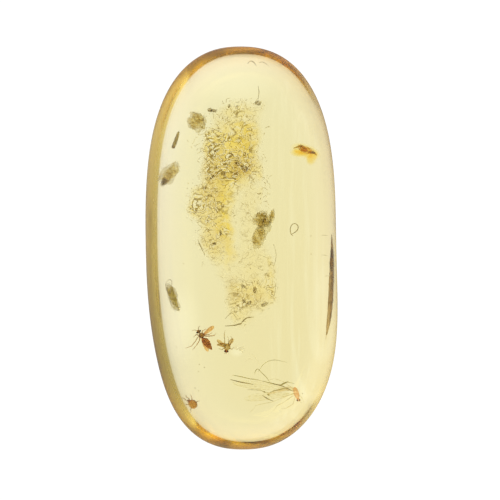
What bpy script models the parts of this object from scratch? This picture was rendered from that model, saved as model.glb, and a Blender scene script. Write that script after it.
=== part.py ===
"""Insects and plant scraps sealed in a polished pebble of pale amber.

The pebble lies on its flat base with its long way along Y. The origin is in the middle of the
base. The clear body is parted level in two, so that each thing sealed in it has a pocket.
Sizes are written in millimetres, and MM turns them into Blender's metres.
"""

import math

import bmesh
import bpy
from mathutils import Matrix, Vector, noise

MM = 0.001

# The pebble. Its outline is a superellipse, and each face swells from the girdle.
LENGTH = 40.3
WIDTH = 19.1
THICKNESS = 9.0
GIRDLE_HEIGHT = 4.2
BLUNTNESS_ACROSS = 2.3     # 2 on both is an ellipse, more is boxier
BLUNTNESS_ALONG = 3.1
BEND = 0.5                 # how far the lower end leans to +X
BEND_PLACE = -12.5
BEND_SPREAD = 8.5
SHOULDER_UPPER = 3.2       # higher is flatter on top, with a steeper edge
SHOULDER_UPPER_LEAN = 1.0  # the edge at +X is the steeper one
SHOULDER_LOWER = 3.2
SHOULDER_LOWER_LEAN = 0.9
CROWN_FALL = 0.5           # the crown is lower towards the two ends
BASE_CUT = 0.35            # depth polished off to make the flat base
PEBBLE_SEGMENTS = 48
PEBBLE_RINGS = 18

# The parting between the two halves, and the room kept round each sealed thing.
PARTING_HEIGHT = 4.5
GAP = 0.3
POCKET_SEGMENTS = 12
POCKET_RINGS = 8

# Where the insects lie, and the way that each one heads, counter-clockwise from +X.
WASP_PLACE = (-3.36, -9.13, 4.9)
WASP_HEADING = math.radians(124)
GNAT_PLACE = (-1.36, -9.72, 4.6)
GNAT_HEADING = math.radians(-92)
MITE_PLACE = (-4.32, -15.25, 4.4)
MITE_HEADING = math.radians(140)
MIDGE_PLACE = (4.97, -14.13, 4.4)
MIDGE_HEADING = math.radians(-80)

# Thicknesses of what is thin.
LEG_RADIUS = 0.045
FEELER_RADIUS = 0.035
WING_THICKNESS = 0.05
VEIL_THICKNESS = 0.16

# The debris veil: rows of (y, left edge, right edge), from its top to its lowest corner.
VEIL_ROWS = (
    (14.6, -1.1, 2.2),
    (13.3, -2.7, 2.3),
    (11.3, -3.5, 2.1),
    (7.2, -3.8, 2.1),
    (4.3, -5.1, 2.1),
    (0.8, -4.1, 2.4),
    (-2.3, -2.5, 3.5),
    (-5.0, -1.7, 3.8),
    (-6.8, -1.1, 2.5),
    (-8.1, -0.8, 0.4),
)
VEIL_HEIGHT = 4.55
VEIL_SLOPE = 0.025         # the veil rises towards +Y
VEIL_WRINKLE = 0.16
VEIL_RAGGEDNESS = 0.5      # how far its edges wander
VEIL_COLUMNS = 10
VEIL_LINES = 22

# The plant sliver along the +X edge: points along its length, then its half-widths there.
SLIVER_PATH = (
    (7.90, 1.35, 4.3), (7.93, 0.2, 4.25), (7.92, -1.2, 4.2), (7.86, -2.8, 4.2),
    (7.80, -4.4, 4.2), (7.72, -6.0, 4.2), (7.60, -7.4, 4.25), (7.46, -8.6, 4.3),
)
SLIVER_RADII = (0.03, 0.13, 0.22, 0.24, 0.22, 0.19, 0.14, 0.04)


def clear_scene():
    """Start from an empty scene."""
    for thing in list(bpy.data.objects):
        bpy.data.objects.remove(thing, do_unlink=True)


def new_collection(name):
    """A collection in the scene."""
    made = bpy.data.collections.new(name)
    bpy.context.scene.collection.children.link(made)
    return made


def finish(name, colour, roughness, transmission=0.0, ior=1.5):
    """A plain Principled material of one colour."""
    made = bpy.data.materials.new(name)
    made.use_nodes = True
    shader = made.node_tree.nodes["Principled BSDF"]
    shader.inputs["Base Color"].default_value = (*colour, 1.0)
    shader.inputs["Roughness"].default_value = roughness
    shader.inputs["Metallic"].default_value = 0.0
    shader.inputs["Transmission Weight"].default_value = transmission
    shader.inputs["IOR"].default_value = ior
    made.diffuse_color = (*colour, 1.0)
    return made


def put(name, mesh, collection):
    """An object for a mesh, in a collection."""
    made = bpy.data.objects.new(name, mesh)
    collection.objects.link(made)
    return made


def mesh_of(bm, name):
    """A mesh from a bmesh, with its faces pointing out."""
    bmesh.ops.recalc_face_normals(bm, faces=bm.faces)
    mesh = bpy.data.meshes.new(name)
    bm.to_mesh(mesh)
    bm.free()
    return mesh


def as_mesh(source, name, collection):
    """The evaluated shape of an object as a plain mesh in world space; the source is removed."""
    bpy.context.view_layer.update()
    depsgraph = bpy.context.evaluated_depsgraph_get()
    baked = bpy.data.meshes.new_from_object(source.evaluated_get(depsgraph))
    bm = bmesh.new()
    bm.from_mesh(baked)
    bmesh.ops.remove_doubles(bm, verts=bm.verts, dist=0.0005 * MM)
    bmesh.ops.transform(bm, matrix=source.matrix_world, verts=bm.verts)
    bpy.data.objects.remove(source, do_unlink=True)
    bpy.data.meshes.remove(baked)
    return put(name, mesh_of(bm, name), collection)


def power(value, exponent):
    """A power that keeps the sign."""
    return math.copysign(abs(value) ** exponent, value)


# ---- The pebble ----------------------------------------------------------------------------


def pebble_point(x, y, z):
    """The place on the pebble of a point of the unit sphere, in millimetres."""
    around = math.atan2(y, x)
    ring = math.hypot(x, y)
    if z >= 0.0:
        shoulder = SHOULDER_UPPER + SHOULDER_UPPER_LEAN * math.cos(around)
        swell = THICKNESS - GIRDLE_HEIGHT
    else:
        shoulder = SHOULDER_LOWER + SHOULDER_LOWER_LEAN * math.cos(around)
        swell = GIRDLE_HEIGHT + BASE_CUT
    level = ring ** (2.0 / shoulder)
    inset = (1.0 - level) * WIDTH / 2
    across = (WIDTH / 2 - inset) * power(math.cos(around), 2.0 / BLUNTNESS_ACROSS)
    along = (LENGTH / 2 - inset) * power(math.sin(around), 2.0 / BLUNTNESS_ALONG)
    height = GIRDLE_HEIGHT + swell * z
    if z > 0.0:
        height -= CROWN_FALL * (along / (LENGTH / 2)) ** 2 * (1.0 - level)
    across += BEND * math.exp(-(((along - BEND_PLACE) / BEND_SPREAD) ** 2))
    return across, along, height


def whole_pebble():
    """The whole pebble as a bmesh, standing over the origin, with its base cut flat."""
    bm = bmesh.new()
    bmesh.ops.create_uvsphere(
        bm, u_segments=PEBBLE_SEGMENTS, v_segments=PEBBLE_RINGS, radius=1.0)
    for vertex in bm.verts:
        vertex.co = Vector(pebble_point(*vertex.co)) * MM
    centre = middle_of(bm)
    for vertex in bm.verts:
        vertex.co.x -= centre.x
        vertex.co.y -= centre.y
    return keep_part(bm, 0.0, above=True)


def middle_of(bm):
    """The middle of a bmesh's box."""
    xs = [vertex.co.x for vertex in bm.verts]
    ys = [vertex.co.y for vertex in bm.verts]
    return Vector(((min(xs) + max(xs)) / 2, (min(ys) + max(ys)) / 2, 0.0))


def keep_part(bm, height, above):
    """Cut a bmesh level at a height, keep one side and close the cut."""
    geometry = list(bm.verts) + list(bm.edges) + list(bm.faces)
    cut = bmesh.ops.bisect_plane(
        bm, geom=geometry, dist=1e-8, plane_co=(0.0, 0.0, height * MM), plane_no=(0.0, 0.0, 1.0),
        clear_inner=above, clear_outer=not above)
    rim = [item for item in cut["geom_cut"] if isinstance(item, bmesh.types.BMEdge)]
    bmesh.ops.holes_fill(bm, edges=rim, sides=0)
    return bm


def half_pebble(name, height, above, collection, material):
    """One half of the clear pebble, cut at a height."""
    half = put(name, mesh_of(keep_part(whole_pebble(), height, above), name), collection)
    half.data.shade_smooth()
    half.data.set_sharp_from_angle(angle=math.radians(35))
    half.data.materials.append(material)
    return half


def hollow(half, cutters):
    """Cut every pocket out of a half of the pebble."""
    for cutter in cutters:
        cut = half.modifiers.new(cutter.name, "BOOLEAN")
        cut.operation = "DIFFERENCE"
        cut.solver = "EXACT"
        cut.object = cutter


# ---- Shapes that the sealed things are made of ----------------------------------------------


def place_at(spot, heading=0.0):
    """The frame of a sealed thing: its own +X points the way that it heads."""
    return Matrix.Translation(Vector(spot) * MM) @ Matrix.Rotation(heading, 4, "Z")


def ball(place, centre, radii, collection, turn=0.0, segments=10, rings=6):
    """An egg-shaped lump, its first radius along the way that it is turned."""
    size = Matrix.Diagonal((radii[0] * MM, radii[1] * MM, radii[2] * MM, 1.0))
    frame = place @ Matrix.Translation(Vector(centre) * MM) @ Matrix.Rotation(turn, 4, "Z") @ size
    bm = bmesh.new()
    bmesh.ops.create_uvsphere(
        bm, u_segments=segments, v_segments=rings, radius=1.0, matrix=frame)
    return put("ball", mesh_of(bm, "ball"), collection)


def tube(place, path, radii, collection, sides=1):
    """A closed tube through the points of a path, with its own radius at each."""
    curve = bpy.data.curves.new("tube", "CURVE")
    curve.dimensions = "3D"
    curve.bevel_depth = MM
    curve.bevel_resolution = sides
    curve.use_fill_caps = True
    spline = curve.splines.new("POLY")
    spline.points.add(len(path) - 1)
    for point, spot, radius in zip(spline.points, path, radii):
        point.co = (*(Vector(spot) * MM), 1.0)
        point.radius = radius
    guide = bpy.data.objects.new("tube", curve)
    guide.matrix_world = place
    collection.objects.link(guide)
    return as_mesh(guide, "tube", collection)


def limb(place, path, collection, radius=LEG_RADIUS):
    """A leg or a feeler, thinner towards its tip."""
    last = len(path) - 1
    radii = [radius * (1.0 - 0.5 * step / last) for step in range(last + 1)]
    return tube(place, path, radii, collection)


def wing(place, root, length, width, turn, collection, height=0.0, points=14):
    """A flat wing, narrow at its root and round at its tip."""
    curve = bpy.data.curves.new("wing", "CURVE")
    curve.dimensions = "2D"
    curve.fill_mode = "BOTH"
    curve.extrude = WING_THICKNESS / 2 * MM
    spline = curve.splines.new("POLY")
    spline.use_cyclic_u = True
    spline.points.add(points - 1)
    for index, point in enumerate(spline.points):
        angle = 2 * math.pi * index / points
        reach = (1.0 - math.cos(angle)) / 2
        span = math.sin(angle) * (0.45 + 0.55 * reach)
        point.co = (reach * length * MM, span * width / 2 * MM, 0.0, 1.0)
    guide = bpy.data.objects.new("wing", curve)
    spot = Vector((root[0], root[1], height)) * MM
    guide.matrix_world = place @ Matrix.Translation(spot) @ Matrix.Rotation(turn, 4, "Z")
    collection.objects.link(guide)
    return as_mesh(guide, "wing", collection)


def fuse(name, pieces, collection, material):
    """Join overlapping solids into one closed body."""
    body = pieces[0]
    for piece in pieces[1:]:
        union = body.modifiers.new("join", "BOOLEAN")
        union.operation = "UNION"
        union.solver = "EXACT"
        union.object = piece
    joined = as_mesh(body, name, collection)
    for piece in pieces[1:]:
        bpy.data.objects.remove(piece, do_unlink=True)
    joined.data.shade_smooth()
    joined.data.set_sharp_from_angle(angle=math.radians(50))
    joined.data.materials.append(material)
    return joined


def chip(spot, radii, turn, roughness, seed, collection, detail=2):
    """A rough lump: a ball whose points are pushed in and out by smooth noise."""
    frame = place_at(spot, turn)
    bm = bmesh.new()
    bmesh.ops.create_icosphere(bm, subdivisions=detail, radius=1.0)
    for vertex in bm.verts:
        push = 1.0 + roughness * noise.noise(vertex.co * 1.7 + Vector((seed, 0.0, 0.0)))
        sized = Vector((vertex.co[axis] * radii[axis] * push for axis in range(3)))
        vertex.co = frame @ (sized * MM)
    return put("chip", mesh_of(bm, "chip"), collection)


def pocket(name, spot, radii, collection, turn=0.0):
    """An egg-shaped pocket round a sealed thing."""
    made = ball(place_at(spot), (0.0, 0.0, 0.0), radii, collection, turn,
                POCKET_SEGMENTS, POCKET_RINGS)
    made.name = name
    return made


# ---- The insects ----------------------------------------------------------------------------


def make_wasp(collection, material):
    """A small wasp: head, waist and a spindle of an abdomen, with legs, feelers and wings."""
    place = place_at(WASP_PLACE, WASP_HEADING)
    pieces = [
        tube(place, [(0.50, 0.0, 0.0), (0.32, 0.02, 0.0), (0.08, 0.02, 0.0), (-0.25, 0.0, 0.0),
                     (-0.62, -0.01, 0.0), (-0.92, -0.02, 0.0), (-1.16, -0.02, 0.0)],
             [0.09, 0.12, 0.27, 0.32, 0.25, 0.14, 0.03], collection, sides=2),
        ball(place, (0.62, -0.02, 0.02), (0.26, 0.25, 0.24), collection),
        ball(place, (1.02, 0.0, 0.0), (0.17, 0.24, 0.17), collection, segments=8, rings=6),
        limb(place, [(0.82, 0.0, 0.0), (0.95, 0.0, 0.0)], collection, radius=0.10),
        wing(place, (0.55, -0.12), 1.35, 0.52, math.radians(-84), collection, height=0.16),
        wing(place, (0.52, 0.06), 1.65, 0.50, math.radians(170), collection, height=-0.14),
    ]
    legs = (
        [(0.62, 0.12, -0.10), (0.60, 0.42, 0.02), (0.42, 0.72, -0.10), (0.20, 1.30, -0.18),
         (0.34, 1.84, -0.20)],
        [(0.56, 0.12, -0.12), (0.24, 0.44, -0.05), (0.02, 0.86, -0.20), (-0.16, 1.40, -0.22)],
        [(0.66, 0.12, -0.08), (0.92, 0.34, -0.12), (0.84, 0.66, -0.22)],
        [(0.56, -0.12, -0.12), (0.36, -0.46, -0.02), (0.22, -0.62, -0.12), (0.24, -0.98, -0.18)],
        [(0.48, -0.10, -0.12), (0.16, -0.46, -0.08), (-0.10, -0.98, -0.20),
         (-0.02, -1.20, -0.24)],
        [(0.66, -0.12, -0.08), (0.90, -0.36, -0.14), (0.86, -0.70, -0.24)],
    )
    pieces += [limb(place, path, collection) for path in legs]
    for side in (-1, 1):
        feeler = [(1.12, 0.08 * side, 0.04), (1.36, 0.18 * side, 0.06), (1.44, 0.44 * side, 0.0)]
        pieces.append(limb(place, feeler, collection, radius=FEELER_RADIUS))
    return fuse("wasp", pieces, collection, material)


def make_gnat(collection, material):
    """A stout gnat, its head low, its wings half spread and its legs drawn up."""
    place = place_at(GNAT_PLACE, GNAT_HEADING)
    pieces = [
        ball(place, (0.10, 0.05, 0.02), (0.34, 0.30, 0.26), collection),
        ball(place, (0.48, 0.0, -0.02), (0.17, 0.19, 0.16), collection, segments=8, rings=6),
        tube(place, [(0.02, -0.02, 0.0), (-0.10, -0.30, 0.0), (-0.12, -0.60, -0.02),
                     (-0.10, -0.88, -0.04)], [0.20, 0.22, 0.15, 0.05], collection),
        wing(place, (0.05, 0.10), 0.95, 0.46, math.radians(150), collection, height=0.16),
        wing(place, (0.05, -0.08), 1.05, 0.44, math.radians(-128), collection, height=0.18),
    ]
    legs = (
        [(0.05, 0.25, -0.08), (-0.34, 0.40, -0.02), (-0.66, 0.52, -0.08), (-0.98, 0.34, -0.12)],
        [(0.0, 0.15, -0.12), (-0.48, 0.18, -0.10), (-0.92, 0.06, -0.18)],
        [(0.0, -0.15, -0.12), (-0.60, -0.20, -0.05), (-1.20, -0.26, -0.12), (-1.52, -0.20, -0.2)],
        [(0.20, 0.22, -0.10), (0.30, 0.50, -0.18), (0.10, 0.66, -0.26)],
        [(0.20, -0.15, -0.10), (0.36, -0.42, -0.18), (0.28, -0.66, -0.26)],
    )
    pieces += [limb(place, path, collection) for path in legs]
    return fuse("gnat", pieces, collection, material)


def make_mite(collection, material):
    """A round-bodied creature, its short legs mostly on one side."""
    place = place_at(MITE_PLACE, MITE_HEADING)
    pieces = [
        ball(place, (0.0, 0.0, 0.0), (0.45, 0.37, 0.28), collection),
        ball(place, (0.42, 0.0, 0.02), (0.16, 0.15, 0.13), collection, segments=8, rings=5),
    ]
    legs = (
        [(0.40, 0.05, 0.0), (0.66, 0.12, 0.06), (0.98, 0.10, -0.02), (1.16, 0.16, -0.08)],
        [(0.38, -0.06, 0.0), (0.62, -0.18, 0.06), (0.90, -0.16, -0.02), (1.06, -0.20, -0.08)],
        [(0.26, 0.22, -0.05), (0.42, 0.42, 0.02), (0.66, 0.50, -0.10)],
        [(0.26, -0.22, -0.05), (0.44, -0.42, 0.02), (0.70, -0.56, -0.10)],
        [(-0.10, 0.28, -0.05), (-0.20, 0.50, -0.02), (-0.36, 0.62, -0.12)],
        [(-0.10, -0.28, -0.05), (-0.18, -0.50, -0.02), (-0.32, -0.66, -0.12)],
    )
    pieces += [limb(place, path, collection, radius=0.04) for path in legs]
    return fuse("mite", pieces, collection, material)


def make_midge(collection, material):
    """A long-winged midge: a small body with two wings trailing far to -X, and thin legs."""
    place = place_at(MIDGE_PLACE, MIDGE_HEADING)
    pieces = [
        ball(place, (0.0, 0.0, 0.0), (0.52, 0.23, 0.25), collection),
        ball(place, (0.60, 0.02, 0.0), (0.17, 0.17, 0.15), collection, segments=8, rings=6),
        tube(place, [(-0.25, 0.0, 0.0), (-0.45, -0.40, -0.02), (-0.42, -1.05, -0.04),
                     (-0.30, -1.90, -0.05), (-0.22, -2.50, -0.05)],
             [0.16, 0.19, 0.17, 0.14, 0.05], collection),
        wing(place, (-0.20, -0.02), 5.75, 0.95, math.radians(-106), collection, height=0.12),
        wing(place, (0.05, -0.05), 4.70, 0.90, math.radians(-92), collection, height=0.02),
    ]
    legs = (
        [(0.20, -0.12, -0.10), (0.92, -0.50, 0.0), (1.22, -1.20, -0.14), (1.20, -1.60, -0.2)],
        [(0.10, -0.14, -0.12), (0.70, -1.20, 0.05), (0.92, -1.90, -0.10), (1.30, -2.25, -0.2)],
        [(0.0, -0.14, -0.12), (0.55, -2.20, 0.0), (0.62, -3.70, -0.10), (1.10, -4.30, -0.2)],
        [(-0.10, 0.10, -0.10), (-1.15, -0.85, 0.05), (-1.52, -1.55, -0.06),
         (-1.42, -2.60, -0.16)],
        [(0.15, 0.12, -0.10), (0.45, 0.34, 0.0), (0.78, 0.36, -0.14)],
    )
    pieces += [limb(place, path, collection, radius=0.04) for path in legs]
    return fuse("midge", pieces, collection, material)


# ---- The plant scraps and the veil ----------------------------------------------------------


def make_scraps(collection):
    """The four scraps of bark: one in the middle made of two lobes and a fin, and three small."""
    dark_bark = (0.22, 0.15, 0.05)
    pale_bark = (0.27, 0.20, 0.09)
    centre = [
        chip((2.05, 2.80, 3.10), (0.84, 0.80, 0.24), 0.0, 0.5, 4.2, collection),
        chip((1.70, 1.10, 3.00), (0.60, 1.10, 0.22), math.radians(-12), 0.45, 5.9, collection),
        chip((2.98, 3.15, 3.14), (0.24, 0.70, 0.16), math.radians(-8), 0.3, 7.4, collection),
    ]
    fuse("flake_centre", centre, collection, finish("bark_centre", dark_bark, 0.8))
    lower = [
        chip((-6.30, -4.80, 4.60), (0.42, 1.45, 0.26), math.radians(20), 0.45, 9.6, collection)]
    fuse("flake_lower", lower, collection, finish("bark_lower", dark_bark, 0.8))
    left = [
        chip((-6.55, 7.30, 4.00), (0.62, 1.25, 0.26), math.radians(-38), 0.5, 2.3, collection),
        chip((-6.98, 6.55, 4.00), (0.26, 0.34, 0.20), math.radians(-20), 0.3, 1.4, collection),
    ]
    fuse("flake_left", left, collection, finish("bark_left", pale_bark, 0.85))
    upper = [
        chip((-4.15, 12.50, 5.20), (0.85, 0.92, 0.26), math.radians(30), 0.45, 6.1, collection)]
    fuse("flake_upper", upper, collection, finish("bark_upper", pale_bark, 0.85))


def make_sliver(collection, material):
    """A long pointed sliver of bark or stem."""
    made = tube(Matrix.Identity(4), SLIVER_PATH, SLIVER_RADII, collection, sides=2)
    made.name = "plant_sliver"
    made.data.materials.append(material)
    return made


def make_twig(collection, material):
    """A short bar of plant fibre."""
    path = [(-6.22, 9.88, 4.4), (-6.10, 10.25, 4.42), (-5.94, 10.70, 4.44), (-5.80, 11.12, 4.45),
            (-5.68, 11.46, 4.45)]
    made = tube(Matrix.Identity(4), path, [0.13, 0.17, 0.16, 0.14, 0.07], collection)
    made.name = "twig"
    made.data.materials.append(material)
    return made


def make_stained_flake(collection, material):
    """An orange scrap with two torn ends."""
    place = place_at((5.78, 9.74, 4.9), math.radians(-28))
    pieces = [
        tube(place, [(-0.62, 0.05, 0.0), (-0.36, 0.16, 0.0), (0.0, 0.0, 0.02), (0.42, -0.06, 0.0),
                     (0.84, 0.02, 0.0), (1.18, -0.10, 0.0)],
             [0.05, 0.15, 0.22, 0.20, 0.11, 0.04], collection, sides=2),
        tube(place, [(-0.36, 0.10, 0.0), (-0.62, -0.08, 0.0), (-0.84, -0.34, 0.0)],
             [0.14, 0.10, 0.04], collection),
    ]
    return fuse("stained_flake", pieces, collection, material)


def veil_edges(y):
    """The veil's left and right edges at a place along its length."""
    for (y_upper, left_upper, right_upper), (y_lower, left_lower, right_lower) in zip(
            VEIL_ROWS, VEIL_ROWS[1:]):
        if y >= y_lower:
            part = (y_upper - y) / (y_upper - y_lower)
            smooth = part * part * (3.0 - 2.0 * part)
            left = left_upper + (left_lower - left_upper) * smooth
            right = right_upper + (right_lower - right_upper) * smooth
            return left, right
    return VEIL_ROWS[-1][1:]


def veil_height(x, y):
    """The height of the wrinkled veil over a place."""
    wrinkle = noise.noise(Vector((x * 0.9, y * 0.9, 3.1)))
    wrinkle += 0.5 * noise.noise(Vector((x * 2.3, y * 2.3, 7.7)))
    return VEIL_HEIGHT + VEIL_SLOPE * y + VEIL_WRINKLE * wrinkle


def make_veil(collection, material):
    """The crinkled layer of debris between two flows of resin."""
    top = VEIL_ROWS[0][0]
    bottom = VEIL_ROWS[-1][0]
    bm = bmesh.new()
    bmesh.ops.create_grid(bm, x_segments=VEIL_COLUMNS, y_segments=VEIL_LINES, size=1.0)
    for vertex in bm.verts:
        y = bottom + (top - bottom) * (vertex.co.y + 1.0) / 2
        left, right = veil_edges(y)
        x = left + (right - left) * (vertex.co.x + 1.0) / 2
        x += VEIL_RAGGEDNESS * noise.noise(Vector((x * 0.4, y * 0.9, 1.3)))
        y += VEIL_RAGGEDNESS * noise.noise(Vector((x * 0.9, y * 0.4, 5.2)))
        vertex.co = Vector((x, y, veil_height(x, y))) * MM
    sheet = put("debris_veil", mesh_of(bm, "debris_veil"), collection)
    wall = sheet.modifiers.new("thickness", "SOLIDIFY")
    wall.thickness = VEIL_THICKNESS * MM
    wall.offset = 0.0
    sheet.data.shade_smooth()
    sheet.data.materials.append(material)
    return sheet


def veil_pocket(collection):
    """A level pocket that follows the veil's outline."""
    margin = 2 * GAP
    right_side = [(right + margin, y) for y, left, right in VEIL_ROWS]
    left_side = [(left - margin, y) for y, left, right in reversed(VEIL_ROWS)]
    outline = [(x, y + margin * (1 if y > 0 else -1) * (abs(y - 3.0) > 10.0))
               for x, y in right_side + left_side]
    curve = bpy.data.curves.new("veil_pocket", "CURVE")
    curve.dimensions = "2D"
    curve.fill_mode = "BOTH"
    curve.extrude = 0.9 * MM
    spline = curve.splines.new("POLY")
    spline.use_cyclic_u = True
    spline.points.add(len(outline) - 1)
    for point, (x, y) in zip(spline.points, outline):
        point.co = (x * MM, y * MM, 0.0, 1.0)
    guide = bpy.data.objects.new("veil_pocket", curve)
    guide.location = (0.0, 0.0, (VEIL_HEIGHT + 0.05) * MM)
    collection.objects.link(guide)
    return as_mesh(guide, "veil_pocket", collection)


def make_pockets(collection):
    """The pockets in the clear body, one for each sealed thing."""
    return [
        veil_pocket(collection),
        pocket("wasp_pocket", (-3.75, -9.30, 4.75), (2.15, 2.05, 1.0), collection),
        pocket("gnat_pocket", (-1.30, -9.35, 4.55), (1.35, 1.75, 0.95), collection),
        pocket("mite_pocket", (-4.50, -15.05, 4.45), (1.60, 1.60, 0.9), collection),
        pocket("midge_pocket", (2.55, -13.90, 4.45), (4.30, 2.60, 1.0), collection,
               math.radians(-12)),
        pocket("centre_pocket", (2.14, 2.04, 3.55), (1.9, 3.0, 1.35), collection),
        pocket("lower_pocket", (-6.25, -4.90, 4.55), (1.25, 2.50, 1.0), collection),
        pocket("left_pocket", (-6.50, 7.25, 4.2), (1.55, 2.0, 1.0), collection),
        pocket("upper_pocket", (-4.15, 12.40, 4.95), (1.7, 1.7, 1.1), collection),
        pocket("twig_pocket", (-5.95, 10.65, 4.5), (1.55, 0.75, 0.75), collection,
               math.radians(70)),
        pocket("sliver_pocket", (7.72, -3.65, 4.35), (6.4, 0.95, 0.95), collection,
               math.radians(87.5)),
        pocket("stained_pocket", (5.90, 9.68, 4.85), (1.95, 1.20, 0.85), collection,
               math.radians(-28)),
    ]


def main():
    """Build the amber and everything sealed in it."""
    clear_scene()
    amber = new_collection("insect_in_amber")
    cutters = new_collection("cutters")

    resin_colour = (0.86, 0.70, 0.32)
    upper = half_pebble("amber_upper", PARTING_HEIGHT + GAP / 2, True, amber,
                        finish("resin_upper", resin_colour, 0.03, 1.0, 1.54))
    lower = half_pebble("amber_lower", PARTING_HEIGHT - GAP / 2, False, amber,
                        finish("resin_lower", resin_colour, 0.03, 1.0, 1.54))

    make_wasp(amber, finish("wasp_shell", (0.20, 0.06, 0.02), 0.35))
    make_gnat(amber, finish("gnat_shell", (0.32, 0.20, 0.05), 0.4))
    make_mite(amber, finish("mite_shell", (0.55, 0.20, 0.03), 0.35))
    make_midge(amber, finish("midge_shell", (0.60, 0.32, 0.10), 0.4))

    make_scraps(amber)
    make_twig(amber, finish("twig_fibre", (0.22, 0.16, 0.06), 0.8))
    make_sliver(amber, finish("sliver_fibre", (0.26, 0.15, 0.05), 0.75))
    make_stained_flake(amber, finish("stained_fibre", (0.60, 0.27, 0.02), 0.6))
    make_veil(amber, finish("veil_dust", (0.50, 0.38, 0.14), 0.7))

    pockets = make_pockets(cutters)
    for cutter in pockets:
        cutter.hide_render = True
        cutter.display_type = "WIRE"
    hollow(upper, pockets)
    hollow(lower, pockets)


main()
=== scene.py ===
# %% [markdown]
# # Insects in amber
#
# Amber is tree resin that has hardened over millions of years. This piece has been ground and
# polished into a long pebble, about 40 mm by 19 mm, and 9 mm thick. Whatever landed on the sticky
# resin is still inside: a small wasp, a gnat, a mite and a long-winged midge, with scraps of bark
# and a crinkled veil of dust that lay between two flows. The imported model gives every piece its
# place and size, so the first step loads it and keeps the box that the finished model must fill.

import math

import bmesh
import bpy
from mathutils import Matrix, Vector, noise


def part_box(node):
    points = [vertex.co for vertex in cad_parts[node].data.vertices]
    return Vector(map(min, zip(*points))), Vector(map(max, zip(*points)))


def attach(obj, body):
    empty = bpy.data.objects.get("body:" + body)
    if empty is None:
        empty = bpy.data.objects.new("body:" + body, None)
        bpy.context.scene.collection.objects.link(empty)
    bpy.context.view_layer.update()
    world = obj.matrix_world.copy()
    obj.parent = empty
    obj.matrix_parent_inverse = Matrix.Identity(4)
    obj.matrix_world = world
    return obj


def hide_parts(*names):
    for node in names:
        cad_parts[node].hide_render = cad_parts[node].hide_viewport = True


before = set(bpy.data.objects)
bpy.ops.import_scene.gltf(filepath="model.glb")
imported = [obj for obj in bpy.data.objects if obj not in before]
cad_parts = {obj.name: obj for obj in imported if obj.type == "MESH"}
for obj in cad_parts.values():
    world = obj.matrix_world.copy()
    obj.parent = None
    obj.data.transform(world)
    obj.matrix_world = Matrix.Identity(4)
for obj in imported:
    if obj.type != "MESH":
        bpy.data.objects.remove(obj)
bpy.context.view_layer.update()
MM = 0.001

# %% [markdown]
# ## Camera
#
# A polished stone is laid flat on a light table and looked at from straight above. A long lens
# keeps both ends of the pebble in the same scale. The lens is worked out from the width that
# the view covers at the pebble's girdle, so no number has to be guessed.

# %% Camera
CAMERA_HEIGHT = 400.0
GIRDLE_HEIGHT = 4.2
VIEW_WIDTH = 50.0
VIEW_CENTRE = (0.85, -0.2)


def put(name, data):
    """A new object at the origin for a mesh, a lamp or a camera."""
    made = bpy.data.objects.new(name, data)
    bpy.context.scene.collection.objects.link(made)
    return made


camera_data = bpy.data.cameras.new("camera")
camera_data.sensor_width = 36.0
camera_data.lens = camera_data.sensor_width * (CAMERA_HEIGHT - GIRDLE_HEIGHT) / VIEW_WIDTH
camera_data.clip_start = 0.01
camera_data.clip_end = 10.0
camera = put("camera", camera_data)
camera.location = Vector((*VIEW_CENTRE, CAMERA_HEIGHT)) * MM
bpy.context.scene.camera = camera
bpy.context.scene.view_settings.view_transform = "Standard"
print("lens:", round(camera_data.lens, 1), "mm")

# %% [markdown]
# ## Sums made of nodes
#
# Both the pebble's shape and the materials are rules, and a rule in Blender is a tree of nodes.
# Long sums are hard to read as nodes, so `Number` wraps a socket and lets plain signs build
# them. A socket knows the tree that it belongs to, so a sum never has to name its tree.
# `add_node` makes a node and feeds its sockets in one line.

# %% Node helpers
class Number:
    """A number in a node tree, so that sums made of nodes read like plain sums."""

    def __init__(self, socket):
        self.socket = socket
        self.id_data = socket.id_data

    def math(self, operation, *terms):
        """One Math node whose first input is this number."""
        node = add_node(self.id_data, "ShaderNodeMath", operation=operation)
        for place, term in zip(node.inputs, (self, *terms)):
            feed(place, term)
        return Number(node.outputs[0])

    def __add__(self, other):
        return self.math("ADD", other)

    def __sub__(self, other):
        return self.math("SUBTRACT", other)

    def __rsub__(self, other):
        return self.math("MULTIPLY", -1.0) + other

    def __mul__(self, other):
        return self.math("MULTIPLY", other)

    def __truediv__(self, other):
        return self.math("DIVIDE", other)

    def __pow__(self, other):
        return self.math("POWER", other)

    def signed_power(self, exponent):
        """A power that keeps the sign."""
        return self.math("ABSOLUTE") ** exponent * self.math("SIGN")

    def at_most(self, limit):
        """This number, or the limit where it would be more."""
        return self.math("MINIMUM", limit)

    def span(self, low, high, new_low=0.0, new_high=1.0):
        """This number's place between low and high, held inside new_low and new_high."""
        return out_of(add_node(self.id_data, "ShaderNodeMapRange", {
            "Value": self, "From Min": low, "From Max": high, "To Min": new_low, "To Max": new_high}))


def feed(socket, value):
    """Feed a socket from another socket, a Number or a plain value."""
    if isinstance(value, Number):
        value = value.socket
    if isinstance(value, bpy.types.NodeSocket):
        socket.id_data.links.new(value, socket)
    else:
        socket.default_value = value


def add_node(tree, kind, feeds=None, **settings):
    """A new node with its settings, and its inputs fed by name."""
    node = tree.nodes.new(kind)
    for name, value in settings.items():
        setattr(node, name, value)
    for name, value in (feeds or {}).items():
        feed([socket for socket in node.inputs if socket.name == name and socket.enabled][0], value)
    return node


def out_of(node):
    """The first output of a node that is in use, as a Number."""
    return Number([socket for socket in node.outputs if socket.enabled][0])


def axes(vector):
    """The three parts of a vector, as Numbers."""
    parts = add_node(vector.id_data, "ShaderNodeSeparateXYZ", {"Vector": vector})
    return [Number(socket) for socket in parts.outputs]


print("node helpers ready")

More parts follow.
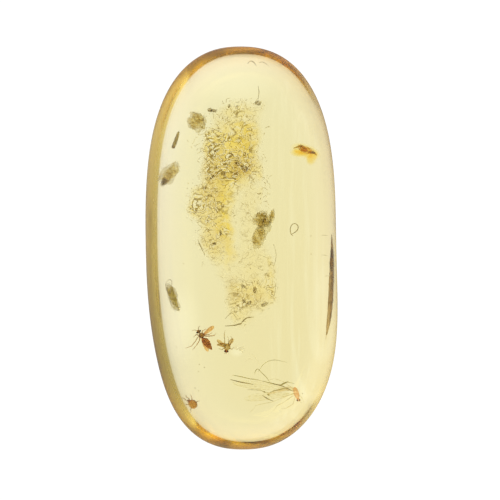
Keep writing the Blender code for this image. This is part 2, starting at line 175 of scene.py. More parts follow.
# %% [markdown]
# ## The light table and the studio
#
# Pale amber looks its best on a glowing white table, which lights the resin from below, in a room
# of soft boxes. The floor therefore glows evenly by itself. The polished edge of the pebble works
# like a ring of mirrors and shows the room at table height, so the brightness of the room by
# direction decides where the edge is golden, olive or brown: it is a short sum on the direction.
# The flat top would mirror a bright ceiling and lay a grey haze over everything sealed below it,
# so the ceiling is dim, and the soft boxes are hidden from mirrors.

# %% Floor, room and lamps
FLOOR_GAP = 0.02            # keeps the floor clear of the flat base
TABLE_REACH = 1500.0
TABLE_GLOW = 1.06
WHITE = (1.0, 1.0, 1.0, 1.0)
BLACK = (0.0, 0.0, 0.0, 1.0)
ROOM_LEVEL = 0.84
ROOM_TO_RIGHT = -0.20       # a darker side at +X
ROOM_TO_TOP = 0.17          # a lighter side at +Y
ROOM_CORNERS = -0.68        # the corners at +X+Y and -X-Y are darker than the other two
ROOM_ENDS = 0.90            # lighter towards both ends of the stone
ROOM_MOST = 1.7
RING_LEVEL = 0.12           # a ring of light half-way up, which lights what is sealed inside
RING_PLACE = 0.48
RING_SPREAD = 0.30
CEILING_LEVEL = 0.28        # a dim ceiling, so that the polished top does not mirror it
CEILING_SPAN = (0.45, 0.97)
CELLAR_LEVEL = 0.45         # dark below, so that the edge does not mirror the table
CELLAR_SPAN = (-0.06, 0.0)


def make_floor():
    """A large pale floor that glows evenly."""
    bm = bmesh.new()
    bmesh.ops.create_grid(bm, x_segments=2, y_segments=2, size=TABLE_REACH * MM)
    bmesh.ops.translate(bm, verts=bm.verts, vec=(0.0, 0.0, -FLOOR_GAP * MM))
    mesh = bpy.data.meshes.new("floor")
    bm.to_mesh(mesh)
    bm.free()
    glow = bpy.data.materials.new("light_table")
    glow.use_nodes = True
    shader = glow.node_tree.nodes["Principled BSDF"]
    looks = {"Base Color": BLACK, "Specular IOR Level": 0.0, "Roughness": 0.9,
             "Emission Color": WHITE, "Emission Strength": TABLE_GLOW}
    for name, value in looks.items():
        shader.inputs[name].default_value = value
    mesh.materials.append(glow)
    floor = put("floor", mesh)
    floor.visible_glossy = False


def make_room():
    """Soft light from all round, with its own brightness in each direction."""
    world = bpy.data.worlds.new("studio")
    bpy.context.scene.world = world
    world.use_nodes = True
    tree = world.node_tree
    x, y, z = axes(add_node(tree, "ShaderNodeTexCoord").outputs["Generated"])
    level = x * ROOM_TO_RIGHT + y * ROOM_TO_TOP + x * y * ROOM_CORNERS + ROOM_LEVEL
    walls = (level + (y * y) ** 2.0 * ROOM_ENDS).at_most(ROOM_MOST)
    off = (z - RING_PLACE) / RING_SPREAD
    ring = (off * off * -1.0).math("EXPONENT") * RING_LEVEL
    dim = z.span(*CEILING_SPAN)
    upper = (walls + ring) * (1.0 - dim) + dim * CEILING_LEVEL
    above = z.span(*CELLAR_SPAN)
    background = tree.nodes["Background"]
    background.inputs["Color"].default_value = WHITE
    feed(background.inputs["Strength"], upper * above + (1.0 - above) * CELLAR_LEVEL)


def make_lamp(name, place, size, watts):
    """A square soft box that faces the pebble."""
    data = bpy.data.lights.new(name, "AREA")
    data.size = size
    data.energy = watts
    lamp = put(name, data)
    lamp.location = place
    lamp.rotation_euler = (-Vector(place)).to_track_quat("-Z", "Y").to_euler()
    lamp.visible_glossy = False


make_floor()
make_room()
make_lamp("soft_box_key", (-0.15, 0.20, 0.35), 0.25, 0.30)
make_lamp("soft_box_fill", (0.25, -0.10, 0.30), 0.30, 0.10)
print("room level straight up:", CEILING_LEVEL)

# %% [markdown]
# ## Finishes: small helpers
#
# Nothing in a fossil has one flat colour. Every finish here starts from noise in millimetres on
# the piece's own coordinates, which stays put when the piece is seen from another side. The
# helpers below give that noise, a ramp of colours, and a fine bump. What is sealed in resin looks
# like a tinted filter before the lit table, so `tint_to` works out the filter for a wanted look.

# %% Material helpers
SEALED_IOR = 1.05                   # chitin and wood next to resin: hardly any shine
RESIN_LOOK = (235, 227, 181)        # the clear resin over the lit table


def linear(red, green, blue):
    """A screen colour of 0 to 255 as Blender's linear colour."""
    def channel(value):
        value /= 255.0
        return value / 12.92 if value <= 0.04045 else ((value + 0.055) / 1.055) ** 2.4
    return (channel(red), channel(green), channel(blue), 1.0)


def tint_to(red, green, blue):
    """The tint of a clear film that turns the resin's own colour into this one."""
    wanted = zip(linear(red, green, blue), linear(*RESIN_LOOK))
    return (*[min(1.0, part / whole) for part, whole in wanted][:3], 1.0)


def new_finish(name, clear=0.0):
    """A material, its tree and its Principled shader; clear is the share of light let through."""
    made = bpy.data.materials.new(name)
    made.use_nodes = True
    shader = made.node_tree.nodes["Principled BSDF"]
    shader.inputs["IOR"].default_value = SEALED_IOR
    shader.inputs["Transmission Weight"].default_value = clear
    return made, made.node_tree, shader


def coat(shader, colour, roughness):
    """Feed a shader its colour and its roughness."""
    feed(shader.inputs["Base Color"], colour)
    feed(shader.inputs["Roughness"], roughness)


def here(tree):
    """The place on the piece, in the piece's own coordinates."""
    return add_node(tree, "ShaderNodeTexCoord").outputs["Object"]


def grain(tree, size, detail=3.0, stretch=(1.0, 1.0, 1.0), distortion=0.0):
    """Noise whose lumps are about `size` millimetres across, from 0 to 1."""
    mapping = add_node(tree, "ShaderNodeMapping", {"Vector": here(tree), "Scale": stretch})
    return out_of(add_node(tree, "ShaderNodeTexNoise", {
        "Vector": mapping.outputs[0], "Scale": 1.0 / (size * MM), "Detail": detail,
        "Distortion": distortion}))


def ramp(value, stops):
    """Colours along a value: each stop is its place from 0 to 1 and a linear colour."""
    node = add_node(value.id_data, "ShaderNodeValToRGB", {"Fac": value})
    band = node.color_ramp
    while len(band.elements) < len(stops):
        band.elements.new(0.5)
    for element, (place, colour) in zip(band.elements, stops):
        element.position = place
        element.color = (*colour[:3], 1.0)
    return node.outputs["Color"]


def mottle(value, looks, spread):
    """Tints in even steps along a value, from `spread` below a half to `spread` above it."""
    last = len(looks) - 1
    return ramp(value, [(0.5 + spread * (2 * step / last - 1), tint_to(*look))
                        for step, look in enumerate(looks)])


def blend_colours(share, first, second):
    """One colour turning into another as the share goes from 0 to 1."""
    return out_of(add_node(share.id_data, "ShaderNodeMix", {"Factor": share, "A": first, "B": second},
                           data_type="RGBA"))


def attribute(tree, name):
    """A number that the mesh carries at its points."""
    return Number(add_node(tree, "ShaderNodeAttribute", attribute_name=name).outputs["Fac"])


def bump(shader, height, depth, strength=1.0):
    """Fine relief, `depth` millimetres from its lowest to its highest."""
    node = add_node(height.id_data, "ShaderNodeBump", {
        "Height": height, "Distance": depth * MM, "Strength": strength})
    feed(shader.inputs["Normal"], node.outputs["Normal"])


print("material helpers ready")

# %% [markdown]
# ## Geometry Nodes: small helpers
#
# A Geometry Nodes tree is a recipe that Blender runs on a mesh. Each tree here has named inputs
# for its sizes, so that one recipe serves many pieces. `grow` sets those inputs on a modifier,
# runs it once and keeps the result as an ordinary mesh, which is what other programs can read.

# %% Geometry Nodes helpers
SOCKETS = {int: "NodeSocketInt", float: "NodeSocketFloat", tuple: "NodeSocketVector"}


def new_recipe(name, sizes):
    """A Geometry Nodes tree with named inputs, and those inputs as Numbers."""
    tree = bpy.data.node_groups.new(name, "GeometryNodeTree")
    tree.interface.new_socket("Geometry", in_out="INPUT", socket_type="NodeSocketGeometry")
    for label, value in sizes.items():
        socket = tree.interface.new_socket(label, in_out="INPUT", socket_type=SOCKETS[type(value)])
        socket.default_value = value
    tree.interface.new_socket("Finish", in_out="INPUT", socket_type="NodeSocketMaterial")
    tree.interface.new_socket("Geometry", in_out="OUTPUT", socket_type="NodeSocketGeometry")
    inside = tree.nodes.new("NodeGroupInput")
    return tree, {socket.name: Number(socket) for socket in inside.outputs if socket.name}


def close_recipe(size, geometry, joined=False):
    """Realize what was made, give it the finish, and join it to what was there, if that is kept."""
    tree = size["Geometry"].id_data
    real = add_node(tree, "GeometryNodeRealizeInstances", {"Geometry": geometry})
    painted = add_node(tree, "GeometryNodeSetMaterial", {
        "Geometry": real.outputs[0], "Material": size["Finish"]})
    result = painted.outputs[0]
    if joined:
        together = add_node(tree, "GeometryNodeJoinGeometry", {"Geometry": result})
        feed(together.inputs[0], size["Geometry"])
        result = together.outputs[0]
    feed(tree.nodes.new("NodeGroupOutput").inputs[0], result)
    return tree


def scaled(vector, factor):
    """A vector made longer or shorter."""
    return add_node(vector.id_data, "ShaderNodeVectorMath", {"Vector": vector, "Scale": factor},
                    operation="SCALE").outputs[0]


def sum_of(first, second):
    """The sum of two vectors."""
    node = add_node(second.id_data, "ShaderNodeVectorMath", operation="ADD")
    feed(node.inputs[0], first)
    feed(node.inputs[1], second)
    return node.outputs[0]


def by_chance(seed, low=0.0, high=1.0):
    """A random number or vector between two others, its own at each point."""
    kind = "FLOAT_VECTOR" if isinstance(low, tuple) else "FLOAT"
    return out_of(add_node(seed.id_data, "FunctionNodeRandomValue", {
        "Min": low, "Max": high, "Seed": seed}, data_type=kind))


def cloud(tree, scale, detail=1.0):
    """The noise node that reads the place of each point."""
    return add_node(tree, "ShaderNodeTexNoise", {"Scale": scale, "Detail": detail})


def sway(tree, scale, amount):
    """A smooth shift that goes half of the amount in every direction."""
    centred = add_node(tree, "ShaderNodeVectorMath", {
        "Vector": cloud(tree, scale).outputs["Color"]}, operation="SUBTRACT")
    centred.inputs[1].default_value = (0.5, 0.5, 0.5)
    return scaled(centred.outputs[0], amount)


def moved(tree, geometry, **feeds):
    """The geometry with its points moved."""
    return add_node(tree, "GeometryNodeSetPosition", {"Geometry": geometry, **feeds}).outputs[0]


def grow(thing, recipe, values):
    """Run a recipe on an object, and keep the result as its plain mesh."""
    modifier = thing.modifiers.new(recipe.name, "NODES")
    modifier.node_group = recipe
    for item in recipe.interface.items_tree:
        if item.item_type == "SOCKET" and item.in_out == "INPUT" and item.name in values:
            modifier[item.identifier] = values[item.name]
    bpy.context.view_layer.update()
    depsgraph = bpy.context.evaluated_depsgraph_get()
    grown = bpy.data.meshes.new_from_object(
        thing.evaluated_get(depsgraph), preserve_all_data_layers=True, depsgraph=depsgraph)
    thing.modifiers.remove(modifier)
    before = thing.data
    thing.data = grown
    bpy.data.meshes.remove(before)
    grown.name = thing.name


def keep(piece, slot, *nodes):
    """Fix a finished piece to the model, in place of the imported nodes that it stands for."""
    if nodes:
        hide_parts(*nodes)
    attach(piece, "root")
    piece.data.calc_loop_triangles()
    print(piece.name + ":", len(piece.data.loop_triangles), "triangles")


print("geometry helpers ready")

# %% [markdown]
# ## The pebble
#
# The outline of a hand-polished pebble is neither an ellipse nor a box: it is a superellipse, a
# curve with one extra number for its bluntness. Each face swells from the girdle over a shoulder,
# the +X edge is the steeper one, the lower end leans a little, and the base is ground flat. All
# of that is a rule, so a sphere's points are moved by one sum in Geometry Nodes. The same
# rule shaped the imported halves, and this one clear body stands for both of them.

# %% The pebble's rule
PEBBLE = {
    "Segments": 192,
    "Rings": 144,
    "Length": 40.3,
    "Width": 19.1,
    "Thickness": 9.0,
    "Girdle": GIRDLE_HEIGHT,
    "Blunt across": 2.3,
    "Blunt along": 3.1,
    "Bend": 0.5,
    "Bend place": -12.5,
    "Bend spread": 8.5,
    "Shoulder upper": 3.2,
    "Lean upper": 1.0,
    "Shoulder lower": 3.2,
    "Lean lower": 0.9,
    "Crown fall": 0.5,
    "Base cut": 0.35,
    "Base polish": 0.12,
}


def pebble_recipe():
    """A unit sphere whose points are moved onto the pebble."""
    tree, size = new_recipe("pebble_rule", PEBBLE)
    ball = add_node(tree, "GeometryNodeMeshUVSphere", {
        "Segments": size["Segments"], "Rings": size["Rings"], "Radius": 1.0})
    x, y, z = axes(tree.nodes.new("GeometryNodeInputPosition").outputs[0])
    ring = (x * x + y * y).math("SQRT")
    to_right = x / ring
    to_top = y / ring
    above = z.math("GREATER_THAN", -0.0001)

    upper = size["Shoulder upper"] + size["Lean upper"] * to_right
    lower = size["Shoulder lower"] + size["Lean lower"] * to_right
    shoulder = lower + (upper - lower) * above
    deep = size["Girdle"] + size["Base cut"]
    swell = deep + (size["Thickness"] - size["Girdle"] - deep) * above
    level = ring ** (shoulder ** -1.0 * 2.0)
    half_width = size["Width"] * 0.5
    half_length = size["Length"] * 0.5
    inset = (1.0 - level) * half_width

    across = (half_width - inset) * to_right.signed_power(size["Blunt across"] ** -1.0 * 2.0)
    along = (half_length - inset) * to_top.signed_power(size["Blunt along"] ** -1.0 * 2.0)
    fall = (along / half_length) ** 2.0 * (1.0 - level) * size["Crown fall"] * above
    height = size["Girdle"] + swell * z - fall
    flat = height.math("SMOOTH_MAX", 0.0, size["Base polish"])
    off = (along - size["Bend place"]) / size["Bend spread"]
    bent = across + (off * off * -1.0).math("EXPONENT") * size["Bend"]

    spot = add_node(tree, "ShaderNodeCombineXYZ", {"X": bent, "Y": along, "Z": flat})
    shape = moved(tree, ball.outputs["Mesh"], Position=scaled(spot.outputs[0], MM))
    facing = axes(tree.nodes.new("GeometryNodeInputNormal").outputs[0])[2]
    for name, value in (("girdle", 1.0 - facing.math("ABSOLUTE")), ("inset", inset)):
        shape = add_node(tree, "GeometryNodeStoreNamedAttribute", {
            "Geometry": shape, "Name": name, "Value": value},
            data_type="FLOAT", domain="POINT").outputs[0]
    return close_recipe(size, shape)


def fit_to_box(mesh, low, high):
    """Stretch a mesh by a hair so that it just fills a box."""
    for axis in range(3):
        values = [vertex.co[axis] for vertex in mesh.vertices]
        least, most = min(values), max(values)
        scale = (high[axis] - low[axis]) / (most - least)
        for vertex in mesh.vertices:
            vertex.co[axis] = low[axis] + (vertex.co[axis] - least) * scale
        print("axis", axis, "scaled by", round(scale, 5))


# %% [markdown]
# ## Clear amber
#
# Amber bends light more than water does, with an index of 1.54, and it swallows blue light as the
# path through it grows. That is why the body looks pale yellow and the edge, where light runs
# along the stone, turns gold and olive. Plain transmission and absorption through the volume do
# most of this. The rind of a real stone is also darker and duller than its core. The finish
# also paints onto that rind the gold, olive, brown and mauve that the room's reflection and shade
# give the edge, which is painted reflection and painted shade, and it paints a soft olive shade
# just inside the rim. For this it reads two numbers that the recipe left at each point: how steep
# the girdle is there, and how far the point lies inside the outline. Pale patches in the body
# include a painted reflection of a soft box at the top end and a painted glint beside the gnat.
# The polish has flow bands, soft waves and hair-fine scratches.

# %% Amber finish
AMBER_IOR = 1.54
ABSORPTION_COLOUR = (0.960, 0.865, 0.220, 1.0)
ABSORPTION_DENSITY = 100.0       # per metre
CORE_COOL = (0.890, 0.900, 0.905)
CORE_WARM = (0.885, 0.855, 0.765)
PALE_PATCH_AND_REFLECTION_TINT = (0.960, 0.970, 1.000, 1.0)
# painted shade, mixed into the body's colour just inside the rim
PAINTED_INNER_SHADE = (0.56, 0.56, 0.38, 1.0)       # soft olive, just inside the rim
RIND_ROUGHNESS = 0.34            # a hand polish leaves the girdle a little dull
# The rind's tint on each side, partly the darker rind and partly painted reflection and shade
# of the room along the edge, from the lowest end, 0, to the topmost, 1.
RIND_AND_PAINTED_EDGE_ENDS = ((0.00, (1.00, 0.80, 0.22)), (0.98, (0.90, 0.46, 0.07)))
RIND_AND_PAINTED_EDGE_LEFT = (
    RIND_AND_PAINTED_EDGE_ENDS[0], (0.10, (0.62, 0.40, 0.12)), (0.20, (0.22, 0.13, 0.05)), (0.38, (0.42, 0.32, 0.32)),
    (0.50, (0.66, 0.53, 0.48)), (0.62, (0.66, 0.54, 0.68)), (0.78, (0.95, 0.88, 1.00)),
    (0.90, (1.00, 0.70, 0.35)), RIND_AND_PAINTED_EDGE_ENDS[1])
RIND_AND_PAINTED_EDGE_RIGHT = (
    RIND_AND_PAINTED_EDGE_ENDS[0], (0.12, (0.98, 0.82, 0.52)), (0.50, (0.86, 0.76, 0.70)), (0.85, (0.68, 0.50, 0.36)),
    RIND_AND_PAINTED_EDGE_ENDS[1])
# Paler patches in the body, the one at the top end a painted reflection of a soft box and the
# small one beside the gnat a painted glint: x, y, half-width and half-height.
PALE_PATCHES_AND_PAINTED_REFLECTION = ((-0.4, 16.0, 4.2, 2.4), (-0.45, -10.3, 0.70, 0.60), (-5.6, -7.5, 2.0, 4.5))


def pale_patches_and_painted_reflection(tree, x, y):
    """Upright streaks on the right, and pale patches, one a painted reflection, fading to 0 at their edges.
    """
    streaks = grain(tree, 0.55, stretch=(1.0, 0.05, 1.0))
    pale = streaks.span(0.50, 0.66, 0.0, 0.75) * x.span(2.0, 4.5) * (1.0 - x.span(8.0, 9.0))
    for at_x, at_y, half_width, half_height in PALE_PATCHES_AND_PAINTED_REFLECTION:
        far = ((x - at_x) / half_width) ** 2.0 + ((y - at_y) / half_height) ** 2.0
        pale = pale + far.span(1.0, 0.0) ** 1.5
    return pale.at_most(1.0)


def amber_finish():
    """Clear, pale yellow resin, a rind tinted partly with painted reflection and shade, and a hand polish.
    """
    made, tree, shader = new_finish("clear_amber", clear=1.0)
    shader.inputs["IOR"].default_value = AMBER_IOR
    x, y = [part / MM for part in axes(here(tree))[:2]]
    girdle, inset = attribute(tree, "girdle"), attribute(tree, "inset")
    side, along = x.span(-3.0, 3.0), y.span(-20.0, 20.0)

    bands = grain(tree, 3.0, stretch=(1.0, 0.22, 1.0), distortion=0.6)
    warm = x * 0.055 - y * 0.020 + bands * 0.5 + 0.18
    # pale patches over the core; the one at the top end is a painted reflection of a soft box
    core = blend_colours(pale_patches_and_painted_reflection(tree, x, y), ramp(warm, ((0.0, CORE_COOL), (1.0, CORE_WARM))), PALE_PATCH_AND_REFLECTION_TINT)
    # painted shade: a soft olive inside the rim on the left, strongest towards the lower end
    shade = inset.span(2.4, 0.3) ** 1.5 * (1.0 - side) * along.span(0.30, 0.85, 1.0, 0.20)
    # the rind's tint: partly the darker rind, partly painted reflection and shade of the room on the edge
    rind = blend_colours(side, ramp(along, RIND_AND_PAINTED_EDGE_LEFT), ramp(along, RIND_AND_PAINTED_EDGE_RIGHT))
    near_edge = girdle.span(0.03, 0.7) + inset.span(0.6, 0.0, 0.0, 0.55)
    colour = blend_colours(near_edge.at_most(1.0), blend_colours(shade, core, PAINTED_INNER_SHADE), rind)

    scratches = grain(tree, 0.10, detail=2.0, stretch=(1.0, 0.12, 1.0)).span(0.45, 0.75, 0.015, 0.05)
    dull = girdle.span(0.05, 0.45) * (1.0 - side) + girdle.span(0.38, 0.80) * side
    coat(shader, colour, scratches + dull * RIND_ROUGHNESS)
    bump(shader, grain(tree, 2.2, detail=2.0), 0.012, 0.35)
    soak = add_node(tree, "ShaderNodeVolumeAbsorption", {
        "Color": ABSORPTION_COLOUR, "Density": ABSORPTION_DENSITY})
    feed(tree.nodes["Material Output"].inputs["Volume"], soak.outputs[0])
    return made


def make_amber():
    """The whole clear body, which stands for the two packed halves."""
    halves = ("amber_upper", "amber_lower")
    amber = put("amber", bpy.data.meshes.new("amber"))
    grow(amber, pebble_recipe(), {**PEBBLE, "Finish": amber_finish()})
    lowest, highest = zip(*(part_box(half) for half in halves))
    fit_to_box(amber.data, [min(part) for part in zip(*lowest)], [max(part) for part in zip(*highest)])
    amber.data.shade_smooth()
    keep(amber, "resin", *halves)


make_amber()

# %% [markdown]
# ## Modelling a creature
#
# An insect is a chain of hollow parts: head, thorax, a plated abdomen, jointed legs, beaded
# feelers and veined wings. Each part could be sculpted by hand, but at this size they are all
# skins over a line with a changing radius. So `Creature` skins such lines into one mesh, in the
# insect's own frame, where +X is the way that it heads. It also writes a number called `plate`
# at each point, which runs from 0 to 1 along each plate, so that a finish can darken its rim.

# %% Paths and places
UP = Vector((0.0, 0.0, 1.0))


def smooth(values, place):
    """The value at a place along a row of numbers or points, on a curve through all of them."""
    last = len(values) - 1
    place = min(max(place, 0.0), last)
    start = min(int(place), last - 1)
    part = place - start
    a, b, c, d = (values[min(max(start + step, 0), last)] for step in (-1, 0, 1, 2))
    bend = (a * 2 - b * 5 + c * 4 - d) * (part ** 2 / 2)
    turn = (b * 3 - a - c * 3 + d) * (part ** 3 / 2)
    return b + (c - a) * (part / 2) + bend + turn


def frame_at(path, place):
    """A spot on a smooth path, and the ways to its side and upwards from it."""
    ahead = (smooth(path, place + 0.1) - smooth(path, place - 0.1)).normalized()
    side = ahead.cross(UP)
    side = side.normalized() if side.length > 0.01 else Vector((1.0, 0.0, 0.0))
    return smooth(path, place), side, side.cross(ahead)


def set_down(spot, turn):
    """The matrix that turns a thing about the upright axis and sets it down at a spot."""
    return Matrix.Translation(Vector(spot)) @ Matrix.Rotation(turn, 4, "Z")


print("halfway along 0, 1, 4:", smooth((0.0, 1.0, 4.0), 1.5))

# %% The creature builder
class Creature:
    """One sealed thing in its own frame, in millimetres, with as many finishes as it needs."""

    def __init__(self, name, spot=(0.0, 0.0, 0.0), heading=0.0):
        self.name = name
        self.place = set_down(spot, heading)
        self.bm = bmesh.new()
        self.plate = self.bm.verts.layers.float.new("plate")
        self.finishes = []

    def paint(self, faces, finish):
        """Give faces a finish, which gets a slot when it is first used."""
        if finish not in self.finishes:
            self.finishes.append(finish)
        for face in faces:
            face.material_index = self.finishes.index(finish)
            face.smooth = True

    def skin(self, rings, finish, plates):
        """Close a skin over rings of points; a ring of one point is a tip."""
        rows = []
        for ring, plate in zip(rings, plates):
            rows.append([self.bm.verts.new(spot) for spot in ring])
            for vertex in rows[-1]:
                vertex[self.plate] = plate
        faces = []
        for first, second in zip(rows, rows[1:]):
            count = max(len(first), len(second))
            for side in range(count):
                after = (side + 1) % count
                corners = [first[side % len(first)], first[after % len(first)],
                           second[after % len(second)], second[side % len(second)]]
                faces.append(self.bm.faces.new(list(dict.fromkeys(corners))))
        self.paint(faces, finish)

    def loft(self, path, radii, finish, sides=12, steps=4, flat=1.0, plates=0, overlap=0.16,
             bundle=None):
        """A closed skin along a path. With plates, its radius steps back at each plate's rim, and
        `bundle` may change it at each angle."""
        path = [Vector(spot) for spot in path]
        angles = [2 * math.pi * number / sides for number in range(sides)]
        count = (len(path) - 1) * steps
        rings = [[path[0]]]
        marks = [0.5]
        for step in range(count + 1):
            place = step / steps
            spot, side, up = frame_at(path, place)
            mark = (step / count * plates) % 1.0 if plates else 0.5
            radius = smooth(radii, place) * (1.0 + overlap * (mark - 0.5) if plates else 1.0)
            ring = []
            for angle in angles:
                far = bundle(radius, angle, place) if bundle else radius
                ring.append(spot + side * (far * math.cos(angle)) + up * (far * flat * math.sin(angle)))
            rings.append(ring)
            marks.append(mark)
        self.skin(rings + [[path[-1]]], finish, marks + [0.5])

    def thread(self, path, radius, finish, first=0.5, last=0.4, steps=6):
        """A thin line with thinner tips."""
        middle = [radius] * (len(path) - 2)
        self.loft(path, [radius * first, *middle, radius * last], finish, sides=6, steps=steps)

    def ball(self, centre, radii, finish, turn=0.0, detail=2, roughness=0.0):
        """An egg-shaped lump, with its first radius along the way that it is turned."""
        shape = set_down(centre, turn) @ Matrix.Diagonal((*radii, 1.0))
        made = bmesh.ops.create_icosphere(self.bm, subdivisions=detail + 1, radius=1.0)["verts"]
        for vertex in made:
            push = 1.0 + roughness * noise.noise(vertex.co * 2.3 + Vector(centre))
            vertex.co = shape @ (vertex.co * push)
            vertex[self.plate] = 0.5
        self.paint({face for vertex in made for face in vertex.link_faces}, finish)

    def leg(self, joints, finish, radius=0.045):
        """A stout femur, a slender tibia, a tarsus of small beads, and two claws."""
        spans = list(zip(joints, joints[1:]))
        for number, (start, end) in enumerate(spans):
            start, end = Vector(start), Vector(end)
            size = radius * (1.15 - 0.55 * number / len(spans))
            if number == len(spans) - 1:
                self.loft([start, (start + end) / 2, end], [size * 0.9, size * 0.75, size * 0.5],
                          finish, sides=6, steps=10, plates=5, overlap=0.7)
            else:
                middle = start.lerp(end, 0.35 if number % 2 == 0 else 0.75)
                self.loft([start, middle, end], [size * 0.7, size * 1.1, size * 0.75], finish, sides=8)
                self.ball(end, (size * 0.85,) * 3, finish, detail=0)
        ahead = (end - start).normalized()
        across = ahead.cross(UP).normalized()
        for side in (-1, 1):
            tip = end + (ahead * 1.6 + across * side * 1.2) * radius * 0.6
            bend = end + (ahead * 1.2 + across * side * 0.3) * radius * 0.6
            self.loft([end, bend, tip], [radius * 0.2, radius * 0.14, radius * 0.03], finish,
                      sides=4, steps=1)

    def feeler(self, path, finish, radius=0.035, beads=11):
        """A feeler of beads that get smaller towards its tip."""
        last = len(path) - 1
        radii = [radius * (1.0 - 0.5 * step / last) for step in range(last + 1)]
        self.loft(path, radii, finish, sides=6, steps=int(beads * 4 / last), plates=beads,
                  overlap=0.5)

    def sheet(self, spot, rows, columns, thickness, finish, marks=None):
        """A thin closed sheet: spot(u, v) is its middle, and half its thickness goes each way."""
        sides = []
        for way in (1.0, -1.0):
            lift = UP * (thickness / 2 * way)
            grid = [[self.bm.verts.new(Vector(spot(row / rows, column / columns)) + lift)
                     for column in range(columns + 1)] for row in range(rows + 1)]
            sides.append(grid)
            for row in range(rows + 1):
                for column in range(columns + 1):
                    mark = marks(row / rows, column / columns) if marks else 0.5
                    grid[row][column][self.plate] = mark
        faces = []
        for way, grid in zip((1, -1), sides):
            for row in range(rows):
                for column in range(columns):
                    corners = [grid[row][column], grid[row + 1][column],
                               grid[row + 1][column + 1], grid[row][column + 1]]
                    faces.append(self.bm.faces.new(corners[::way]))
        edge = [(0, column) for column in range(columns)]
        edge += [(row, columns) for row in range(rows)]
        edge += [(rows, column) for column in range(columns, 0, -1)]
        edge += [(row, 0) for row in range(rows, 0, -1)]
        upper, lower = sides
        for (row, column), (after_row, after_column) in zip(edge, edge[1:] + edge[:1]):
            faces.append(self.bm.faces.new([
                upper[row][column], upper[after_row][after_column],
                lower[after_row][after_column], lower[row][column]]))
        self.paint(faces, finish)

    def wing(self, root, length, width, turn, height, membrane, vein, veins):
        """A thin wing, narrow at its root and round at its tip, with raised veins on both sides."""
        shape = set_down((*root, height), math.radians(turn))

        def spot(reach, share):
            reach = 0.008 + 0.984 * reach
            half = width * math.sqrt(reach * (1.0 - reach)) * (0.45 + 0.55 * reach)
            fold = 0.018 * math.cos(share * 5 * math.pi) * (1.0 - reach)
            return shape @ Vector((reach * length, (share * 2 - 1) * half, fold))

        self.sheet(spot, 26, 10, 0.012, membrane)
        for path, radius in veins:
            path = [Vector(place) for place in path]
            count = (len(path) - 1) * 6 + 1
            points = [spot(*smooth(path, step / 6)) for step in range(count)]
            radii = [radius * (1.0 - 0.55 * step / count) for step in range(count)]
            self.loft(points, radii, vein, sides=5, steps=1)

    def done(self, sharp=60.0):
        """The finished mesh in its place in the model, in metres, with its faces pointing out."""
        bmesh.ops.recalc_face_normals(self.bm, faces=self.bm.faces)
        bmesh.ops.transform(self.bm, matrix=Matrix.Scale(MM, 4) @ self.place, verts=self.bm.verts)
        mesh = bpy.data.meshes.new(self.name)
        self.bm.to_mesh(mesh)
        self.bm.free()
        for finish in self.finishes:
            mesh.materials.append(finish)
        mesh.set_sharp_from_angle(angle=math.radians(sharp))
        return put(self.name, mesh)


print("creature builder ready")

# %% [markdown]
# ## Bristles and the facets of an eye
#
# Hairs and the lenses of a compound eye are too many to place by hand, and each is tiny. A recipe
# scatters points over the body and stands a three-sided cone on each; another puts a small dome
# on every point of an eye's own grid. They stay meshes, so they survive in any program.

# %% Recipes for bristles and facets
def scattered(tree, size, density):
    """The node that scatters points over the recipe's mesh."""
    return add_node(tree, "GeometryNodeDistributePointsOnFaces", {
        "Mesh": size["Geometry"], "Density": density, "Seed": size["Seed"]})


def copies(tree, points, shape, **feeds):
    """A copy of a shape on every point."""
    return add_node(tree, "GeometryNodeInstanceOnPoints", {
        "Points": points, "Instance": shape.outputs["Mesh"], **feeds}).outputs[0]


def leaning(tree, size, points, shape, lean, least):
    """Copies that stand along a lean, each at a random share of its full size."""
    turn = add_node(tree, "FunctionNodeAlignRotationToVector", {"Vector": lean}, axis="Z")
    return copies(tree, points.outputs["Points"], shape, Rotation=turn.outputs[0],
                  Scale=by_chance(size["Seed"], least))


def bristle_recipe():
    """Small leaning cones scattered over a surface."""
    tree, size = new_recipe("bristles", {
        "Per square metre": 6.0e7, "Length": 0.12 * MM, "Radius": 0.006 * MM,
        "Lean": (0.0, 0.0, 0.0), "Seed": 4})
    points = scattered(tree, size, size["Per square metre"])
    cone = add_node(tree, "GeometryNodeMeshCone", {
        "Vertices": 3, "Radius Top": 0.0, "Radius Bottom": size["Radius"], "Depth": size["Length"]},
        fill_type="NGON")
    lean = sum_of(points.outputs["Normal"], size["Lean"])
    return close_recipe(size, leaning(tree, size, points, cone, lean, 0.5), joined=True)


def facet_recipe():
    """A small dome on every point of a surface."""
    tree, size = new_recipe("facets", {"Facet": 0.012 * MM})
    dome = add_node(tree, "GeometryNodeMeshIcoSphere", {"Radius": size["Facet"], "Subdivisions": 1})
    return close_recipe(size, copies(tree, size["Geometry"], dome), joined=True)


BRISTLES = bristle_recipe()
FACETS = facet_recipe()


def finish_creature(bug, limb, bristles, lean, eye=None, spots=(), radii=None, facet=0.0):
    """Grow a creature's bristles, join on its faceted eyes, and keep it as one piece."""
    many, length, radius = bristles
    piece = bug.done()
    grow(piece, BRISTLES, {"Per square metre": many, "Length": length * MM, "Radius": radius * MM,
                           "Lean": lean, "Finish": limb})
    if eye:
        orbs = Creature(bug.name + "_eyes")
        orbs.place = bug.place
        for spot in spots:
            orbs.ball(spot, radii, eye, detail=3)
        eyes = orbs.done()
        grow(eyes, FACETS, {"Facet": facet * MM, "Finish": eye})
        with bpy.context.temp_override(active_object=piece, selected_editable_objects=[piece, eyes]):
            bpy.ops.object.join()
    keep(piece, bug.name + "_shell", bug.name)


print("recipes:", BRISTLES.name, FACETS.name)

